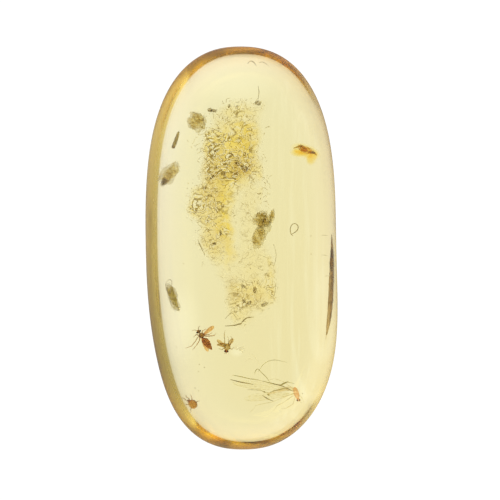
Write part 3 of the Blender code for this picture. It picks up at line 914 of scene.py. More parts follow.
# %% [markdown]
# ## Finishes of the creatures
#
# The shell of a fossil insect keeps its own brown, and thin parts glow a little where light comes
# through. Chitin is glossy with soft blotches, the rim of each plate is darker, and fine pits
# cover it. A wing is a clear film with faint bands: it lets all light through and tints it. Every
# colour is given as the look that it should have before the light table, from 0 to 255.

# %% Creature finishes
def chitin(name, *looks, blotch=0.22, gloss=0.30):
    """Shell of an insect: blotched, pitted, half see-through, with darker plate rims."""
    made, tree, shader = new_finish(name, clear=0.5)
    patches = grain(tree, blotch, detail=4.0, distortion=0.4)
    edge = attribute(tree, "plate").span(0.62, 1.0, 0.0, 0.45)
    shaded = blend_colours(edge, mottle(patches, looks, 0.2), tint_to(*looks[0]))
    coat(shader, shaded, patches.span(0.3, 0.7, gloss, gloss + 0.2))
    bump(shader, grain(tree, 0.035, detail=2.0), 0.006, 0.6)
    return made


def soft_film(name, looks, size, dull, clear=1.0, **shape):
    """A see-through finish whose tint and dullness both follow soft noise."""
    made, tree, shader = new_finish(name, clear)
    tone = grain(tree, size, **shape)
    coat(shader, mottle(tone, looks, 0.15), tone.span(0.3, 0.7, *dull))
    return made, tree, shader


def membrane(name, *looks):
    """Wing film: it lets light through and tints it in bands."""
    made, tree, shader = soft_film(name, looks, 0.25, (0.1, 0.2), distortion=0.8)
    bump(shader, grain(tree, 0.05), 0.004, 0.5)
    return made


def eye_finish(name, *looks):
    """The lens of a compound eye: dark and very glossy."""
    return soft_film(name, looks, 0.06, (0.08, 0.2), clear=0.3, detail=2.0)[0]


print("creature finishes ready")

# %% [markdown]
# ## The wasp
#
# A small parasitic wasp, about 2.5 mm long, lies on its side above the middle of the stone. It
# has a wide head with two big eyes, a humped thorax, a narrow waist, and a spindle of an abdomen
# that glows red-brown. Light shows between the head, the thorax and the waist, so the joints are
# kept thin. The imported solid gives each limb's line, and the detail is built along those lines.

# %% Wasp
def make_wasp():
    """The wasp, with plates, beaded feelers, veined wings and bristles."""
    shell = chitin("wasp_chitin", (150, 84, 16), (200, 128, 40), (236, 172, 84))
    dark = chitin("wasp_dark_chitin", (118, 88, 20), (184, 136, 44), (224, 174, 80))
    limb = chitin("wasp_limb", (214, 170, 104), (228, 194, 128), (235, 212, 152))
    film = membrane("wasp_wing", (230, 196, 118), (214, 158, 80))
    vein = chitin("wasp_vein", (140, 76, 30), (180, 114, 60), (200, 144, 86))
    eye = eye_finish("wasp_eye", (44, 36, 12), (92, 74, 34))
    bug = Creature("wasp", (-3.36, -9.13, 4.9), math.radians(124))
    bug.loft([(0.34, 0.02, 0.0), (0.22, 0.02, 0.0), (0.08, 0.02, 0.0), (-0.25, 0.0, 0.0),
              (-0.62, -0.01, 0.0), (-0.92, -0.02, 0.0), (-1.16, -0.02, 0.0)],
             [0.05, 0.13, 0.27, 0.33, 0.25, 0.14, 0.03], shell, sides=20, steps=8, plates=7)
    bug.loft([(0.42, 0.01, 0.0), (0.36, 0.02, 0.0), (0.28, 0.02, 0.0)], [0.06, 0.05, 0.08], dark)
    bug.loft([(0.36, -0.03, 0.0), (0.50, -0.03, 0.03), (0.64, -0.02, 0.05), (0.80, -0.01, 0.02)],
             [0.10, 0.24, 0.26, 0.12], dark, sides=16, steps=6, plates=3, overlap=0.10)
    bug.ball((0.52, 0.14, -0.06), (0.16, 0.10, 0.14), shell, turn=0.4)
    bug.loft([(0.78, 0.0, 0.0), (0.86, 0.0, 0.0), (0.92, 0.0, 0.0)], [0.06, 0.05, 0.07], dark)
    bug.ball((1.02, 0.0, 0.0), (0.15, 0.20, 0.16), dark)
    bug.ball((1.13, 0.0, -0.07), (0.06, 0.09, 0.06), shell, detail=1)
    for side in (-1, 1):
        bug.loft([(1.12, 0.05 * side, -0.08), (1.19, 0.04 * side, -0.10), (1.20, -0.01 * side, -0.11)],
                 [0.035, 0.03, 0.01], shell, sides=6, steps=3)
        bug.ball((1.04, 0.05 * side, 0.155), (0.022, 0.022, 0.016), eye, detail=1)
        bug.feeler([(1.12, 0.07 * side, 0.04), (1.24, 0.12 * side, 0.07), (1.36, 0.19 * side, 0.06),
                    (1.42, 0.31 * side, 0.03), (1.44, 0.44 * side, 0.0)], dark, radius=0.032)
    for joints in (
            [(0.62, 0.12, -0.10), (0.60, 0.42, 0.02), (0.42, 0.72, -0.10), (0.20, 1.30, -0.18),
             (0.34, 1.84, -0.20)],
            [(0.56, 0.12, -0.12), (0.24, 0.44, -0.05), (0.02, 0.86, -0.20), (-0.16, 1.40, -0.22)],
            [(0.66, 0.12, -0.08), (0.92, 0.34, -0.12), (0.84, 0.66, -0.22)],
            [(0.56, -0.12, -0.12), (0.36, -0.46, -0.02), (0.22, -0.62, -0.12), (0.24, -0.98, -0.18)],
            [(0.48, -0.10, -0.12), (0.16, -0.46, -0.08), (-0.10, -0.98, -0.20), (-0.02, -1.20, -0.24)],
            [(0.66, -0.12, -0.08), (0.90, -0.36, -0.14), (0.86, -0.70, -0.24)]):
        bug.leg(joints, limb)
    veins = [([(0.0, 0.5), (0.4, 0.95), (0.8, 0.92), (0.97, 0.6)], 0.016),
             ([(0.0, 0.5), (0.3, 0.6), (0.7, 0.72), (0.85, 0.9)], 0.011),
             ([(0.0, 0.5), (0.35, 0.35), (0.75, 0.25)], 0.010),
             ([(0.45, 0.94), (0.5, 0.66), (0.55, 0.3)], 0.008)]
    bug.wing((0.55, -0.12), 1.35, 0.52, -84, 0.16, film, vein, veins)
    bug.wing((0.52, 0.06), 1.65, 0.50, 170, -0.14, film, vein, veins)
    finish_creature(bug, limb, (4.0e7, 0.10, 0.005), (0.5, -0.7, 0.0), eye,
                    [(1.03, 0.16 * side, 0.03) for side in (-1, 1)], (0.09, 0.075, 0.11), 0.0085)


make_wasp()

# %% [markdown]
# ## The gnat
#
# The gnat beside it is half as long and stout. It died with its head down, its wings half spread
# and its legs drawn up, so from above it is a yellow-brown blur of wings with a dark red head.

# %% Gnat
def make_gnat():
    """The gnat, with plated abdomen, smoky wings and bristles."""
    shell = chitin("gnat_chitin", (212, 176, 74), (233, 204, 116), (235, 220, 150))
    head = chitin("gnat_head_chitin", (150, 70, 20), (190, 110, 40), (214, 144, 66))
    limb = chitin("gnat_limb", (214, 190, 120), (228, 208, 144), (234, 220, 160))
    film = membrane("gnat_wing", (228, 206, 138), (200, 168, 90))
    vein = chitin("gnat_vein", (130, 90, 34), (168, 124, 60), (200, 160, 90))
    eye = eye_finish("gnat_eye", (84, 26, 10), (130, 56, 22))
    bug = Creature("gnat", (-1.36, -9.72, 4.6), math.radians(-92))
    bug.loft([(-0.24, 0.05, 0.0), (-0.08, 0.05, 0.03), (0.12, 0.05, 0.05), (0.32, 0.03, 0.02),
              (0.42, 0.02, 0.0)], [0.12, 0.27, 0.30, 0.22, 0.10], shell, sides=16, steps=6,
             plates=3, overlap=0.10)
    bug.loft([(0.02, -0.02, 0.0), (-0.10, -0.30, 0.0), (-0.12, -0.60, -0.02),
              (-0.10, -0.88, -0.04)], [0.18, 0.22, 0.15, 0.05], shell, sides=16, steps=12,
             plates=7)
    bug.ball((0.48, 0.0, -0.02), (0.15, 0.17, 0.15), head)
    bug.loft([(0.58, 0.0, -0.08), (0.68, 0.0, -0.14), (0.76, -0.01, -0.20)],
             [0.035, 0.024, 0.012], head, sides=6)
    for side in (-1, 1):
        bug.feeler([(0.60, 0.06 * side, 0.03), (0.70, 0.10 * side, 0.06), (0.78, 0.20 * side, 0.05)],
                   limb, radius=0.022, beads=9)
    for joints in (
            [(0.05, 0.25, -0.08), (-0.34, 0.40, -0.02), (-0.66, 0.52, -0.08), (-0.98, 0.34, -0.12)],
            [(0.0, 0.15, -0.12), (-0.48, 0.18, -0.10), (-0.92, 0.06, -0.18)],
            [(0.0, -0.15, -0.12), (-0.60, -0.20, -0.05), (-1.20, -0.26, -0.12), (-1.52, -0.20, -0.2)],
            [(0.20, 0.22, -0.10), (0.30, 0.50, -0.18), (0.10, 0.66, -0.26)],
            [(0.20, -0.15, -0.10), (0.36, -0.42, -0.18), (0.28, -0.66, -0.26)]):
        bug.leg(joints, limb, radius=0.038)
    veins = [([(0.0, 0.5), (0.4, 0.96), (0.8, 0.94), (0.98, 0.6)], 0.015),
             ([(0.0, 0.5), (0.4, 0.66), (0.9, 0.72)], 0.009),
             ([(0.0, 0.5), (0.4, 0.34), (0.85, 0.22)], 0.009)]
    bug.wing((0.05, 0.10), 0.95, 0.46, 150, 0.16, film, vein, veins)
    bug.wing((0.05, -0.08), 1.05, 0.44, -128, 0.18, film, vein, veins)
    finish_creature(bug, limb, (5.0e7, 0.09, 0.0045), (0.0, 0.8, 0.0), eye,
                    [(0.52, 0.12 * side, 0.03) for side in (-1, 1)], (0.09, 0.07, 0.10), 0.008)


make_gnat()

# %% [markdown]
# ## The mite
#
# Near the lower left edge sits a plump orange mite under a millimetre long. Its back is smooth
# and bright in the middle, where light comes through, and its short legs reach out at one side.

# %% Mite
def make_mite():
    """The mite: an egg of a body with folds, mouth parts, jointed legs and long hairs."""
    shell = chitin("mite_back", (206, 146, 18), (232, 176, 42), (240, 208, 96), blotch=0.30, gloss=0.22)
    limb = chitin("mite_limb", (180, 140, 66), (206, 170, 96), (224, 194, 126))
    edge = chitin("mite_edge", (150, 96, 24), (184, 126, 44), (208, 154, 66))
    bug = Creature("mite", (-4.32, -15.25, 4.4), math.radians(140))
    bug.loft([(-0.45, 0.0, -0.02), (-0.34, 0.0, 0.0), (0.0, 0.0, 0.02), (0.30, 0.0, 0.02),
              (0.44, 0.0, 0.0)], [0.08, 0.27, 0.36, 0.25, 0.10], shell, sides=22, steps=6,
             flat=0.78, plates=5, overlap=0.05)
    bug.loft([(-0.42, -0.16, -0.03), (-0.20, -0.31, -0.04), (0.10, -0.34, -0.04),
              (0.34, -0.18, -0.02)], [0.03, 0.055, 0.055, 0.03], edge, sides=8)
    bug.ball((0.44, 0.0, 0.01), (0.14, 0.13, 0.11), edge, roughness=0.2)
    for side in (-1, 1):
        bug.loft([(0.50, 0.05 * side, 0.0), (0.58, 0.04 * side, -0.02), (0.64, 0.02 * side, -0.04)],
                 [0.035, 0.028, 0.01], edge, sides=6)
    for joints in (
            [(0.40, 0.05, 0.0), (0.66, 0.12, 0.06), (0.98, 0.10, -0.02), (1.16, 0.16, -0.08)],
            [(0.38, -0.06, 0.0), (0.62, -0.18, 0.06), (0.90, -0.16, -0.02), (1.06, -0.20, -0.08)],
            [(0.26, 0.22, -0.05), (0.42, 0.42, 0.02), (0.66, 0.50, -0.10)],
            [(0.26, -0.22, -0.05), (0.44, -0.42, 0.02), (0.70, -0.56, -0.10)],
            [(-0.10, 0.28, -0.05), (-0.20, 0.50, -0.02), (-0.36, 0.62, -0.12)],
            [(-0.10, -0.28, -0.05), (-0.18, -0.50, -0.02), (-0.32, -0.66, -0.12)]):
        bug.leg(joints, limb, radius=0.036)
    finish_creature(bug, limb, (6.0e7, 0.13, 0.004), (0.3, -0.4, 0.2))


make_mite()

# %% [markdown]
# ## The long-winged midge
#
# The midge lies at the lower right with two wings and its legs trailing to the left. Its body is
# a small orange thorax. The film of the wings is almost as clear as the amber, so what shows of
# them is their veins and the crumpled folds, which are drawn as fine dark lines.

# %% Midge
def make_midge():
    """The midge: orange thorax, thin abdomen, two long clear wings with dark veins, thin legs."""
    shell = membrane("midge_thorax", (234, 204, 138), (216, 156, 84))
    belly = membrane("midge_abdomen", (234, 222, 170), (222, 202, 140))
    limb = membrane("midge_limb", (233, 223, 172), (216, 201, 140))
    film = membrane("midge_wing", (235, 227, 180), (232, 222, 168))
    vein = membrane("midge_vein", (230, 218, 164), (196, 178, 112))
    eye = eye_finish("midge_eye", (196, 128, 60), (216, 156, 84))
    bug = Creature("midge", (4.97, -14.13, 4.4), math.radians(-80))
    bug.loft([(-0.52, 0.0, 0.0), (-0.34, 0.0, 0.02), (0.0, 0.0, 0.04), (0.36, 0.0, 0.02),
              (0.52, 0.0, 0.0)], [0.06, 0.17, 0.22, 0.17, 0.07], shell, sides=16, steps=6,
             plates=3, overlap=0.08)
    bug.ball((0.60, 0.02, 0.0), (0.14, 0.14, 0.13), shell)
    bug.loft([(-0.25, 0.0, 0.0), (-0.45, -0.40, -0.02), (-0.42, -1.05, -0.04),
              (-0.30, -1.90, -0.05), (-0.22, -2.50, -0.05)],
             [0.14, 0.18, 0.16, 0.13, 0.05], belly, sides=14, steps=12, plates=8)
    for side in (-1, 1):
        bug.feeler([(0.70, 0.05 * side, 0.0), (0.84, 0.14 * side, 0.02), (0.92, 0.28 * side, 0.0)],
                   limb, radius=0.02, beads=10)
        bug.loft([(-0.1, 0.2 * side, 0.05), (-0.2, 0.32 * side, 0.06), (-0.26, 0.40 * side, 0.06)],
                 [0.012, 0.012, 0.035], limb, sides=6)
    for joints in (
            [(0.20, -0.12, -0.10), (0.92, -0.50, 0.0), (1.22, -1.20, -0.14), (1.20, -1.60, -0.2)],
            [(0.10, -0.14, -0.12), (0.70, -1.20, 0.05), (0.92, -1.90, -0.10), (1.30, -2.25, -0.2)],
            [(0.0, -0.14, -0.12), (0.55, -2.20, 0.0), (0.62, -3.70, -0.10), (1.10, -4.30, -0.2)],
            [(-0.10, 0.10, -0.10), (-1.15, -0.85, 0.05), (-1.52, -1.55, -0.06), (-1.42, -2.60, -0.16)],
            [(0.15, 0.12, -0.10), (0.45, 0.34, 0.0), (0.78, 0.36, -0.14)]):
        bug.leg(joints, limb, radius=0.03)
    veins = [([(0.0, 0.5), (0.2, 0.9), (0.6, 0.97), (0.9, 0.9), (1.0, 0.5)], 0.020),
             ([(0.0, 0.5), (0.3, 0.62), (0.7, 0.70), (0.95, 0.78)], 0.012),
             ([(0.0, 0.5), (0.3, 0.42), (0.7, 0.34), (0.92, 0.22)], 0.012),
             ([(0.1, 0.4), (0.35, 0.12), (0.6, 0.03), (0.85, 0.06)], 0.010),
             ([(0.42, 0.64), (0.45, 0.40)], 0.008), ([(0.62, 0.68), (0.66, 0.36)], 0.008)]
    bug.wing((-0.20, -0.02), 5.75, 0.95, -106, 0.12, film, vein, veins)
    bug.wing((0.05, -0.05), 4.70, 0.90, -92, 0.02, film, vein, veins)
    finish_creature(bug, limb, (1.2e7, 0.12, 0.004), (-0.8, 0.2, 0.0), eye,
                    [(0.64, 0.02 + 0.09 * side, 0.02) for side in (-1, 1)], (0.075, 0.06, 0.09), 0.007)


make_midge()

# %% [markdown]
# ### Crumpled folds of the midge's wings
#
# Where a wet wing folded over itself, the fold shows as a darker line than any vein. Each fold
# is a short list of points on a smooth curve, skinned with the same builder.

# %% Wing folds
# Each fold: its height, its radius, and its points.
WING_FOLDS = (
    (4.52, 0.035, ((-0.79, -12.59), (-0.10, -12.73), (0.77, -12.95), (1.32, -13.02), (2.10, -13.18))),
    (4.50, 0.045, ((2.10, -13.18), (2.87, -13.35), (3.67, -13.49), (4.01, -13.33), (4.41, -13.10))),
    (4.48, 0.030, ((3.67, -13.49), (4.20, -13.20), (4.86, -13.29))),
    (4.50, 0.028, ((1.32, -12.51), (1.40, -12.20), (1.65, -12.01), (2.02, -12.39), (2.48, -12.86),
                   (2.77, -13.33))),
    (4.56, 0.020, ((1.69, -12.25), (2.19, -11.52), (2.82, -11.16), (3.44, -11.11), (4.34, -11.31))),
    (4.40, 0.022, ((-0.18, -13.27), (0.05, -13.31), (0.28, -13.32))),
    (4.38, 0.026, ((0.61, -13.98), (1.72, -14.03), (2.18, -14.16), (2.74, -14.32))),
    (4.42, 0.030, ((2.73, -14.26), (2.94, -14.10), (3.44, -13.95), (4.04, -13.80), (4.50, -13.67))),
    (4.36, 0.060, ((2.10, -14.12), (2.20, -14.17), (2.28, -14.20))),
    (4.34, 0.075, ((2.48, -14.38), (2.58, -14.43), (2.70, -14.44))))


def make_wing_folds():
    """The dark folds, as one piece."""
    fold = membrane("wing_fold", (204, 188, 112), (140, 126, 56))
    lines = Creature("midge_wing_folds")
    for height, radius, path in WING_FOLDS:
        lines.thread([(*place, height) for place in path], radius, fold, steps=5)
    keep(lines.done(), "midge_shell")


make_wing_folds()

# %% [markdown]
# ## Scraps of bark
#
# Bark that fell into the resin came apart into thin chips with torn, see-through edges. A chip is
# a ball flattened to its three half-sizes and pushed about by noise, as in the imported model, and
# here it gets a finer skin of ridges that run along it. Its rim is marked, so that the finish can
# let it fade out, and loose fibres stand on it where it frayed.

# %% Bark finish and chips
BARK_RIM = (1.0, 1.0, 0.98, 1.0)        # a thin rim lets all but a little blue through
CHIP_RIDGES = 0.05                      # the height of the ridges, as a share of the chip


def bark(name, looks, size=0.26, rim=0.95, speckled=0.3):
    """Half-rotted bark: mottled, dull, see-through, and paler at its thin rim."""
    made, tree, shader = new_finish(name, clear=0.85)
    patches = grain(tree, size, detail=5.0, distortion=0.8)
    specks = grain(tree, 0.10, detail=2.0)
    wood = mottle(patches * (1.0 - speckled) + specks * speckled, looks, 0.1)
    thin = attribute(tree, "plate") + (grain(tree, 0.24, detail=4.0, distortion=0.6) - 0.5) * 2.2
    coat(shader, blend_colours(thin.span(0.1, 0.9, 0.0, rim), wood, BARK_RIM),
         specks.span(0.3, 0.7, 0.3, 0.5))
    bump(shader, specks, 0.02, 0.7)
    return made


def add_chip(scrap, spot, radii, turn, roughness, seed, finish):
    """A rough thin chip; `plate` is 0 over its middle and 1 at its rim."""
    shape = set_down(spot, turn)
    made = bmesh.ops.create_icosphere(scrap.bm, subdivisions=5, radius=1.0)["verts"]
    for vertex in made:
        unit = vertex.co.copy()
        push = 1.0 + roughness * noise.noise(unit * 1.7 + Vector((seed, 0.0, 0.0)))
        place = Vector((unit[axis] * radii[axis] * push for axis in range(3)))
        fine = noise.fractal(Vector((place.x * 5.0, place.y * 1.6, place.z * 6.0 + seed)), 1.0, 2.0, 4)
        vertex[scrap.plate] = math.hypot(unit.x, unit.y) ** 4
        vertex.co = shape @ (place * (1.0 + CHIP_RIDGES * fine))
    scrap.paint({face for vertex in made for face in vertex.link_faces}, finish)


def fibre_recipe():
    """Thin bent rods lying along one way, scattered over a surface."""
    tree, size = new_recipe("fibres", {
        "Per square metre": 2.0e7, "Length": 0.5 * MM, "Radius": 0.012 * MM,
        "Along": (0.0, 1.0, 0.0), "Spread": 0.35, "Seed": 9})
    points = scattered(tree, size, size["Per square metre"])
    rod = add_node(tree, "GeometryNodeMeshCone", {
        "Vertices": 4, "Side Segments": 5, "Radius Top": size["Radius"],
        "Radius Bottom": size["Radius"], "Depth": size["Length"]}, fill_type="NGON")
    wander = by_chance(size["Seed"], (-1.0, -1.0, -0.5), (1.0, 1.0, 0.5))
    lean = sum_of(size["Along"], scaled(wander, size["Spread"]))
    rods = leaning(tree, size, points, rod, lean, 0.35)
    real = add_node(tree, "GeometryNodeRealizeInstances", {"Geometry": rods})
    bent = moved(tree, real.outputs[0], Offset=sway(tree, 2.5 / MM, 0.16 * MM))
    return close_recipe(size, bent, joined=True)


def add_fibres(piece, finish, along, many, length, radius, spread, seed):
    """Loose fibres on a piece; their length and radius are in millimetres."""
    grow(piece, FIBRES, {"Per square metre": many, "Length": length * MM, "Radius": radius * MM,
                         "Along": along, "Spread": spread, "Seed": seed, "Finish": finish})


FIBRES = fibre_recipe()
print("recipe:", FIBRES.name)

# %% [markdown]
# Each scrap is a list of chips: its place, half-sizes, turn, roughness and seed. The middle one
# lies deep and looks soft, the lower left one is crisp and dark, and the upper ones are granular.

# %% The four scraps
DARK_BARK = ((146, 120, 34), (190, 165, 78), (222, 202, 120))
MIDDLE_BARK = ((188, 162, 76), (216, 196, 114), (233, 218, 150))
WEB_BARK = ((226, 210, 140), (231, 219, 156), (235, 226, 174))
OLIVE_BARK = ((118, 94, 10), (158, 132, 30), (204, 182, 72))
PALE_BARK = ((160, 130, 36), (206, 180, 78), (235, 218, 134))
TAN_BARK = ((152, 122, 38), (206, 178, 84), (236, 223, 152))
BLACK_BARK = ((120, 100, 14), (150, 128, 34), (180, 158, 64))

# Each scrap: which way its fibres lie, how many there are to a square metre, how large and how
# speckled its mottles are, and its chips.
# Each chip: its place, half-sizes, turn in degrees, roughness, seed and wood.
SCRAPS = {
    "flake_centre": ((0.2, 1.0, 0.0), 3.0e6, (0.60, 0.1), (
        ((2.05, 2.80, 3.10), (0.84, 0.80, 0.24), 0, 0.5, 4.2, DARK_BARK),
        ((1.70, 1.10, 3.00), (0.60, 1.10, 0.22), -12, 0.45, 5.9, MIDDLE_BARK),
        ((2.98, 3.15, 3.14), (0.24, 0.70, 0.16), -8, 0.3, 7.4, MIDDLE_BARK),
        ((2.36, 2.60, 3.16), (0.34, 0.42, 0.12), 20, 0.4, 2.2, MIDDLE_BARK),
        ((2.20, 2.10, 3.04), (0.72, 0.85, 0.10), -15, 0.4, 3.1, WEB_BARK))),
    "flake_lower": ((0.35, -1.0, 0.0), 5.0e6, (0.26, 0.3), (
        ((-6.30, -4.80, 4.60), (0.42, 1.45, 0.26), 20, 0.45, 9.6, OLIVE_BARK),)),
    "flake_left": ((0.6, 0.8, 0.0), 1.0e7, (0.30, 0.2), (
        ((-6.55, 7.30, 4.00), (0.62, 1.25, 0.26), -38, 0.5, 2.3, PALE_BARK),
        ((-6.72, 6.95, 4.05), (0.30, 0.75, 0.16), -32, 0.4, 7.7, MIDDLE_BARK),
        ((-6.98, 6.55, 4.00), (0.26, 0.34, 0.20), -20, 0.3, 1.4, BLACK_BARK))),
    "flake_upper": ((0.5, 0.5, 0.0), 8.0e6, (0.26, 0.4), (
        ((-4.15, 12.50, 5.20), (0.85, 0.92, 0.26), 30, 0.45, 6.1, TAN_BARK),
        ((-3.98, 12.82, 5.24), (0.42, 0.46, 0.14), 10, 0.4, 8.3, WEB_BARK)))}


def make_scraps():
    """Every scrap of bark, with its fibres."""
    for name, (along, fibres, (size, speckled), chips) in SCRAPS.items():
        scrap = Creature(name)
        finishes = {}
        for spot, radii, turn, roughness, seed, wood in chips:
            if wood not in finishes:
                finishes[wood] = bark(name + "_bark", wood, size, speckled=speckled)
            add_chip(scrap, spot, radii, math.radians(turn), roughness, seed, finishes[wood])
        piece = scrap.done()
        loose = bark(name + "_fibre", chips[0][-1], rim=0.0)
        add_fibres(piece, loose, along, fibres, 0.36, 0.010, 0.7, 5)
        keep(piece, "bark", name)


make_scraps()

# %% [markdown]
# ## Twig and sliver
#
# These two are plant fibre too, so they are lofted along their own lines with many sides, and
# each side is a fibre: its radius rises and falls round the stem. The sliver by the right edge is
# pointed at both ends, dark olive at the top, brown below, and tan along its left side.

# %% Fibrous stems
SLIVER_WOOD = ((88, 64, 14), (136, 100, 36), (184, 146, 74))
SLIVER_TAN = (214, 190, 118)
SLIVER_OLIVE = (0.84, 0.80, 0.38, 1.0)
TWIG_WOOD = ((120, 98, 24), (166, 142, 56), (212, 192, 112))
SLIVER_PATH = (
    (7.90, 1.35, 4.3), (7.93, 0.2, 4.25), (7.92, -1.2, 4.2), (7.86, -2.8, 4.2),
    (7.80, -4.4, 4.2), (7.72, -6.0, 4.2), (7.60, -7.4, 4.25), (7.46, -8.6, 4.3))
SLIVER_RADII = (0.03, 0.13, 0.22, 0.24, 0.22, 0.19, 0.14, 0.04)
TWIG_PATH = (
    (-6.22, 9.88, 4.4), (-6.10, 10.25, 4.42), (-5.94, 10.70, 4.44), (-5.80, 11.12, 4.45),
    (-5.68, 11.46, 4.45))
TWIG_RADII = (0.13, 0.17, 0.16, 0.14, 0.07)


def stem(name, looks, along):
    """Plant fibre: streaks that run along the stem."""
    made, tree, shader = new_finish(name, clear=0.85)
    streaks = grain(tree, 0.14, detail=4.0, stretch=along)
    patches = grain(tree, 0.7, detail=2.0)
    coat(shader, mottle(streaks * 0.6 + patches * 0.4, looks, 0.1), streaks.span(0.3, 0.7, 0.25, 0.45))
    bump(shader, streaks, 0.03, 0.8)
    return made


def add_stem(scrap, path, radii, finish, fibres=9, sides=36, depth=0.12):
    """A loft whose cross-section is a bundle of fibres."""
    def bundle(radius, angle, place):
        """The radius at an angle: it rises and falls with the fibres, and the fibres wander."""
        wander = noise.noise(Vector((math.cos(angle), math.sin(angle), place * 0.9)))
        radius *= 1.0 - depth + depth * math.cos(fibres * angle + wander * 3)
        return radius * (1.0 + 0.12 * noise.noise(Vector((place * 2.1, math.cos(angle) * 0.7, 4.0))))

    scrap.loft(path, radii, finish, sides=sides, steps=10, bundle=bundle)


def sliver_finish():
    """Plant fibre that is olive at the top and tan along the left side of its lower part."""
    fibre = stem("sliver_fibre", SLIVER_WOOD, (1.0, 0.25, 1.0))
    tree = fibre.node_tree
    base = tree.nodes["Principled BSDF"].inputs["Base Color"]
    streaked = base.links[0].from_socket
    x, y = [part / MM for part in axes(here(tree))[:2]]
    lower = y.span(-1.6, -2.6)
    tan = lower * (x + y * -0.02).span(7.95, 7.80)
    shaded = add_node(tree, "ShaderNodeMix", {
        "Factor": 1.0, "A": streaked, "B": blend_colours(lower, SLIVER_OLIVE, WHITE)},
        data_type="RGBA", blend_type="MULTIPLY")
    feed(base, blend_colours(tan * 0.8, out_of(shaded), tint_to(*SLIVER_TAN)))
    return fibre


def make_stems():
    """The sliver and the twig."""
    sliver = Creature("plant_sliver")
    fibre = sliver_finish()
    add_stem(sliver, SLIVER_PATH, SLIVER_RADII, fibre)
    piece = sliver.done()
    add_fibres(piece, fibre, (0.0, -1.0, 0.0), 6.0e6, 0.9, 0.012, 0.10, 2)
    keep(piece, "plant_fibre", "plant_sliver")
    twig = Creature("twig")
    bast = stem("twig_fibre", TWIG_WOOD, (1.0, 0.2, 1.0))
    add_stem(twig, TWIG_PATH, TWIG_RADII, bast, fibres=6, sides=24)
    twig.ball((-6.20, 9.96, 4.41), (0.17, 0.13, 0.13), bast, roughness=0.3)
    piece = twig.done()
    add_fibres(piece, bast, (0.3, 1.0, 0.0), 8.0e6, 0.4, 0.010, 0.15, 6)
    keep(piece, "plant_fibre", "twig")


make_stems()

# %% [markdown]
# ## The stained flake
#
# The stained flake is an orange scrap with two torn ends, which are darker. Its dye has bled into
# the resin round it, so thin yellow films lie behind it. Each fades from its middle to nothing.

# %% Stained flake and its halo
STAIN_PLACE = (5.78, 9.74, 4.9)
# Each film of dye: its place from the flake, its height, its half-sizes and its turn in degrees.
STAIN_HALOS = (
    (0.05, -0.20, 4.62, 1.35, 0.70, -28), (-0.45, -0.35, 4.58, 0.85, 0.45, -8),
    (0.55, -0.85, 4.55, 0.45, 0.85, -10))
# Each torn end: its path, its radii and how many sides it has.
TORN_ENDS = (
    ([(-0.62, 0.05, 0.0), (-0.36, 0.16, 0.0), (0.0, 0.05, 0.02)], [0.05, 0.11, 0.05], 36),
    ([(0.42, -0.08, 0.0), (0.84, 0.02, 0.0), (1.18, -0.10, 0.0)], [0.06, 0.10, 0.03], 36),
    ([(-0.36, 0.10, 0.0), (-0.62, -0.08, 0.0), (-0.84, -0.34, 0.0)], [0.07, 0.08, 0.03], 24))


def make_stained_flake():
    """The flake, with its torn ends."""
    core = bark("stained_core", ((204, 146, 14), (222, 172, 40), (240, 206, 96)))
    torn = stem("stained_fibre", ((156, 130, 40), (190, 158, 62), (222, 194, 104)), (1.0, 1.0, 1.0))
    flake = Creature("stained_flake", STAIN_PLACE, math.radians(-28))
    add_chip(flake, (0.12, 0.0, 0.0), (0.74, 0.30, 0.20), 0.0, 0.4, 3.3, core)
    add_chip(flake, (0.00, -0.06, 0.0), (0.36, 0.19, 0.22), 0.1, 0.3, 6.3, core)
    for path, radii, sides in TORN_ENDS:
        add_stem(flake, path, radii, torn, fibres=5, sides=sides, depth=0.2)
    piece = flake.done()
    add_fibres(piece, torn, (0.9, -0.45, 0.0), 5.0e6, 0.5, 0.009, 0.5, 3)
    keep(piece, "stained_fibre", "stained_flake")


def stain_film():
    """A dye that fades outwards: `plate` is 1 in the middle of it and 0 at its edge."""
    made, tree, shader = new_finish("stain_halo", clear=1.0)
    strength = grain(tree, 0.45).span(0.3, 0.7, 0.5, 1.2)
    coat(shader, ramp(attribute(tree, "plate") * strength, (
        (0.0, WHITE), (0.45, tint_to(236, 216, 132)), (1.0, tint_to(236, 202, 88)))), strength * 0.2)
    return made


def make_halo():
    """The films of dye behind the flake, as one piece."""
    dye = stain_film()
    halo = Creature("stain_halo")
    for x, y, z, long, wide, turn in STAIN_HALOS:
        shape = set_down((STAIN_PLACE[0] + x, STAIN_PLACE[1] + y, z), math.radians(turn))

        def spot(u, v):
            reach = 0.001 + 0.999 * u
            angle = 2 * math.pi * v
            return shape @ Vector((long * reach * math.cos(angle), wide * reach * math.sin(angle), 0.0))

        halo.sheet(spot, 8, 28, 0.02, dye, marks=lambda u, v: (1.0 - u * u) ** 1.5)
    keep(halo.done(), "stained_fibre")


make_stained_flake()
make_halo()

# %% [markdown]
# ## The veil between two flows
#
# Resin runs down a trunk in flows. Dust settles on the skin of one flow, the skin wrinkles as it
# dries, and the next flow seals it in. What is left is a crinkled veil: a net of fine dark
# creases, clouds of brown dust, and streaks where golden dye seeped in. It is built from three
# things on one wavy surface: a film that carries the clouds, nets of creases, and grains.

# %% The veil's surface and its clouds
VEIL_ROWS = (
    (14.6, -1.1, 2.2), (13.3, -2.7, 2.3), (11.3, -3.5, 2.1), (7.2, -3.8, 2.1), (4.3, -5.1, 2.1),
    (0.8, -4.1, 2.4), (-2.3, -2.5, 3.5), (-5.0, -1.7, 3.8), (-6.8, -1.1, 2.5), (-8.1, -0.8, 0.4))
VEIL_HEIGHT = 4.55
VEIL_SLOPE = 0.025
VEIL_WRINKLE = 0.16
VEIL_RAGGEDNESS = 0.5
PATCH_DRIFT = 0.55                  # how far noise moves the border of a soft patch
FILM_THICKNESS = 0.02

